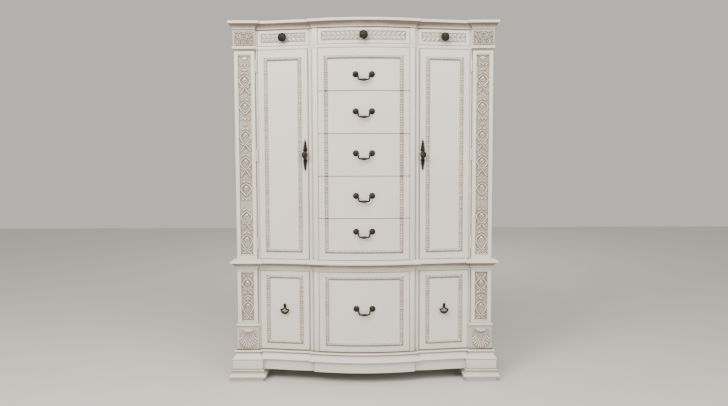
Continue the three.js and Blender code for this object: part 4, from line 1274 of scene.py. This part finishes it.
def bail_pull(number, front_body, bail_body, replaces_bail):
    """Two rosettes on the front, and the bent bail that swings between them."""
    pivot_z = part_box(replaces_bail)[1].z / MM - BAIL_ABOVE_PIVOT
    posts = [seated(ROSETTE, way * POST_SPACING / 2, pivot_z, turn=0.0) for way in (-1, 1)]
    hardware(f"rosettes_{number}", gather(*posts), front_body)
    path = list(BAIL_HALF) + [(0, -29.6)] + mirrored(BAIL_HALF)[::-1]
    points, faces = tube(path, BAIL_RADII)
    forward = float(front_at(POST_SPACING / 2)) + BAIL_STANDOFF
    hardware(f"bail_{number}_bent", (points * MM + to_row(0.0, forward, pivot_z), faces), bail_body,
             [replaces_bail])


KNOB = outwards(lathe((
    (0.1, 0), (14.6, 0), (15, 1.2), (13.6, 2.6), (9, 5), (7.2, 8), (7.6, 12), (12, 15), (18, 17.4),
    (22.4, 20.4), (23, 22.6), (22.2, 25), (20.4, 26.4), (19.4, 25.6), (18.2, 26.6), (13, 28.8), (12, 28.2),
    (10.8, 28.9), (7.4, 30.2), (6.6, 29.8), (5.6, 30.8), (3, 31.8), (0.1, 32)), 48))


def embossed_knob(name, x, z, body, replaces):
    """A round knob with a ring of petals on its face."""
    hardware(name, seated(KNOB, x, z, -KNOB_SINK), body, replaces)
    petal_ring(name + "_petals", x, z, body)


def petal_ring(name, x, z, body):
    """Petals set round the knob's face, each pointing outwards."""
    turn, count, radius, height = turn_at(x), 16, 11.8, 27.2
    angles = np.linspace(0, 2 * math.pi, 2 * count, endpoint=False)[:, None]
    facing = facing_at(x)[0]
    sideways, up = np.array([math.cos(turn), math.sin(turn), 0]), np.array([0, 0, 1])
    spokes = np.cos(angles) * sideways + np.sin(angles) * up
    middle = to_row(x, float(front_at(x)) - KNOB_SINK, z) + facing * height * MM
    ornament_row(name, middle + spokes * radius * MM, facing, PETAL, 2 * math.pi * radius / (count + 0.2), 0,
                 body, BRONZE, ring_ahead=spokes)


def leaf_handle(name, x, z, body, replaces):
    """A pointed escutcheon of stacked leaf pairs either side of an egg-shaped knob."""
    upper = ((0, 88), (2.4, 79), (3.6, 70), (4.6, 60), (5.4, 50), (6, 40), (6.6, 30), (8, 20), (10, 10))
    back = plate(both_sides(upper + tuple((px, -pz) for px, pz in upper[::-1])), 2.6, 0.8)
    for way, word in ((-1, "lower"), (1, "upper")):
        heights = z + way * np.array([16.0, 66.0])
        ornament_row(f"{name}_{word}_leaves", to_row(x, float(front_at(x)) + 3.0, heights), facing_at(x)[0],
                     HANDLE_LEAF, 9.8, 0, body, BRONZE, taper=0.45)
    stem = outwards(lathe(((0.1, 1), (8.6, 1), (8.6, 3), (6.4, 5), (5.4, 8), (5, 12), (5.8, 18), (0.1, 20))))
    egg, faces = lathe([(max(0.1, math.sin(t) * (1 + 0.12 * math.cos(t))), math.cos(t))
                        for t in np.linspace(0, math.pi, 22)], 32)
    egg = moved((egg * np.array([16.4, 13.4, 20.0]), faces), 0, -29, 0)
    hardware(name, seated(back, x, z, GAP), body, replaces)
    hardware(name + "_knob", seated(gather(stem, egg), x, z, GAP, 0.0), body)


def ball(radius):
    """A ball with a tiny flat at each pole."""
    arc = np.linspace(0, math.pi, 14)
    return lathe([(max(0.1, radius * math.sin(t)), -radius * math.cos(t)) for t in arc], 20)


def drop_pull(side, x, plate_z, front_body, drop_body, node):
    """A pierced anchor-like drop hung in front of a small leaf plate."""
    leaf = ((0, 13), (2.6, 11), (4, 8), (4, 4.6), (6.6, 2.4), (9, 0), (6.6, -2.6), (4, -5), (1.8, -7),
            (0, -8))
    back = plate(both_sides(leaf), 2.4, 0.6)
    finial = moved(ball(8.0), 0, -6.0, 10.5)
    hook = outwards(lathe(((0.1, 1), (3, 1), (2.6, 4), (2.2, 9.2), (0.1, 9.3)), 20))
    hardware(f"drop_plate_{side}", seated(gather(back, finial, hook), x, plate_z), front_body)
    eye = outwards(lathe(((0.1, -3.2), (2.2, -2.2), (3.2, 0), (2.2, 2.2), (0.1, 3.2)), 20))
    arms = [tube([(0, 0), (way * 6, -8), (way * 14, -13), (way * 20, -15)], (3.0, 4.4, 4.6, 3.4))
            for way in (-1, 1)]
    crescent = tube([(-20, -16), (-16, -26), (0, -33), (16, -26), (20, -16)], (3.4, 5.8, 6.8, 5.8, 3.4))
    beads = [moved(ball(5.8), way * 20.5, 0, -14.5) for way in (-1, 1)]
    hardware(f"drop_{side}_pierced", seated(gather(eye, *arms, crescent, *beads), x, plate_z, DROP_STANDOFF),
             drop_body, [node])


def barrel_hinge(node):
    """A turned barrel with three knuckles and a finial at each end, and the flat leaf behind it."""
    low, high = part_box(node)
    middle = (low + high) / 2
    centre = np.array([middle.x / MM, low.y / MM + BARREL_RADIUS, middle.z / MM])
    half = (high.z - low.z) / 2 / MM
    tip = ((0.1, half), (1.4, half - 0.6), (2.2, half - 2), (2.6, half - 4), (1.9, half - 6), (2, half - 7),
           (4.4, half - 8.6), (BARREL_RADIUS, half - 9.4))
    knuckles = []
    for share in (-0.34, 0, 0.34):
        joint = half * share
        knuckles += [(BARREL_RADIUS, joint - 0.4), (3.9, joint), (BARREL_RADIUS, joint + 0.4)]
    barrel = lathe([(r, -h) for r, h in tip] + knuckles + list(tip)[::-1], 20)
    leaf_half = half - 12
    leaf = box_shape((-1.9, 1.9), (0, high.y / MM - centre[1]), (-leaf_half, leaf_half))
    points, faces = gather(barrel, leaf)
    piece(node + "_turned", (points + centre) * MM, faces, PAINT, "carcass", [node], crease=40)


# ---------------------------------------------------------------- fronts, boxes and their fittings

UPPER_FRAME = (waist_high + 39.0, UPPER_FRAME_TOP)
LOWER_FRAME = (base_high + 34.0, LOWER_FRAME_TOP)
CENTRE_FRAME = (-CENTRE_FRAME_HALF, CENTRE_FRAME_HALF)


def whole_drawer(node):
    """[low, high] in x and in z of the front of a drawer whose box is in the same node."""
    across, (low, high) = span(node)
    return across, (low + FRONT_ABOVE_BOX, high)


def drawer_behind(name, node, box_front, body, top_drop):
    """The open box behind a front."""
    (x0, x1), (low, high) = span(node)
    inset, wall, bottom_thick, back = 4.0, 12.0, 8.0, 24.0
    x0, x1 = x0 + inset, x1 - inset
    floor_top, top = low + bottom_thick, high - top_drop
    boards = (((x0, x1), (back, box_front), (low, floor_top)),
              ((x0, x0 + wall), (back, box_front), (floor_top, top)),
              ((x1 - wall, x1), (back, box_front), (floor_top, top)),
              ((x0 + wall, x1 - wall), (back, back + wall), (floor_top, top)),
              ((x0 + wall, x1 - wall), (box_front - wall, box_front), (floor_top, top)))
    points, faces = gather(*[box_shape(*spans) for spans in boards])
    item = closed_item(name, to_row(*points.T), faces, merge=0)
    finish_piece(ease_edges(item, 0.8), WOOD, body, (), 30)


def centre_drawer(number):
    """One drawer of the stack, with its stretch of the frame that runs over all five."""
    node = f"drawer_front_{number}"
    body = BODY_OF[node]
    across, upright = span(node)
    front_board(f"front_{number}", across, upright, CENTRE_BACKING, body, [node])
    frame_moulding(f"frame_{number}", CENTRE_FRAME, UPPER_FRAME, upright, body, 10 * number)
    softened(f"drawer_box_{number}", body, WOOD, 0.8)
    bail_pull(number, body, BODY_OF[f"bail_{number}"], f"bail_{number}")


def wide_lower_drawer():
    """The lower row's centre drawer."""
    node = "lower_drawer_centre"
    body = BODY_OF[node]
    across, upright = whole_drawer(node)
    front_board("front_lower_centre", across, upright, CENTRE_BACKING, body, [node])
    frame_moulding("frame_lower_centre", CENTRE_FRAME, LOWER_FRAME, upright, body, 70)
    drawer_behind("box_lower_centre", node, CENTRE_BACKING, body, BOX_TOP_DROP)
    bail_pull("lower", body, BODY_OF["bail_lower"], "bail_lower")


def tall_door(side, way):
    """A door with its frame, its handle and its three hinges."""
    node = f"door_{side}"
    body = BODY_OF[node]
    across, upright = span(node)
    front_board(f"{node}_board", across, upright, None, body, [node])
    bay_frame = in_order(*BAY_FRAME, way)
    frame_moulding(f"frame_door_{side}", bay_frame, UPPER_FRAME, upright, body, 80 + 10 * way)
    leaf_handle(f"handle_{side}", way * HANDLE_X, sum(upright) / 2, body, [f"door_handle_{side}"])
    for height in ("bottom", "middle", "top"):
        barrel_hinge(f"hinge_{side}_{height}")


def narrow_lower_drawer(side, way):
    """A deep drawer under a door, with its drop pull."""
    node = f"lower_drawer_{side}"
    body = BODY_OF[node]
    across, upright = whole_drawer(node)
    front_board(f"front_lower_{side}", across, upright, BAY_BACKING, body, [node])
    bay_frame = in_order(*BAY_FRAME, way)
    frame_moulding(f"frame_lower_{side}", bay_frame, LOWER_FRAME, upright, body, 120 + 10 * way)
    drawer_behind(f"box_lower_{side}", node, BAY_BACKING, body, BOX_TOP_DROP)
    drop_pull(side, way * sum(BAY_FRAME) / 2, DROP_PLATE_Z, body, BODY_OF[f"drop_{side}"], f"drop_{side}")


def frieze_drawer(word, knob_x, backing):
    """A shallow drawer with laurel leaves that run from its knob to both ends of its panel."""
    node = f"frieze_drawer_{word}"
    body = BODY_OF[node]
    (x0, x1), upright = whole_drawer(node)
    panel = (x0 + 18, x1 - 18)
    front_board(f"frieze_front_{word}", (x0, x1), upright, backing, body, [node], (panel, FRIEZE_PANEL))
    drawer_behind(f"frieze_box_{word}", node, backing, body, FRIEZE_BOX_TOP_DROP)
    for (end, way), edge in zip(SIDES, panel):
        xs = np.linspace(knob_x + way * 22, edge - way * 28, 24)
        line = to_row(xs, front_at(xs) - RECESS_DEPTH, sum(FRIEZE_PANEL) / 2)
        ornament_row(f"frieze_leaves_{word}_{end}", line, facing_at(xs), FRIEZE_LEAF, 22.0,
                     200 + int(knob_x) % 7 + way, body, unevenness=0.05)
    embossed_knob(f"frieze_knob_{word}_embossed", knob_x, sum(upright) / 2, body, [f"frieze_knob_{word}"])


for drawer_number in range(1, 6):
    centre_drawer(drawer_number)
wide_lower_drawer()
for side, way in SIDES:
    tall_door(side, way)
    narrow_lower_drawer(side, way)
frieze_drawer("centre", 0.0, CENTRE_BACKING)
for side, way in SIDES:
    frieze_drawer(side, way * FRIEZE_KNOB_X, BAY_BACKING)

for template in (FRAME_LEAF, FRIEZE_LEAF, PETAL, HANDLE_LEAF):
    bpy.data.objects.remove(template)
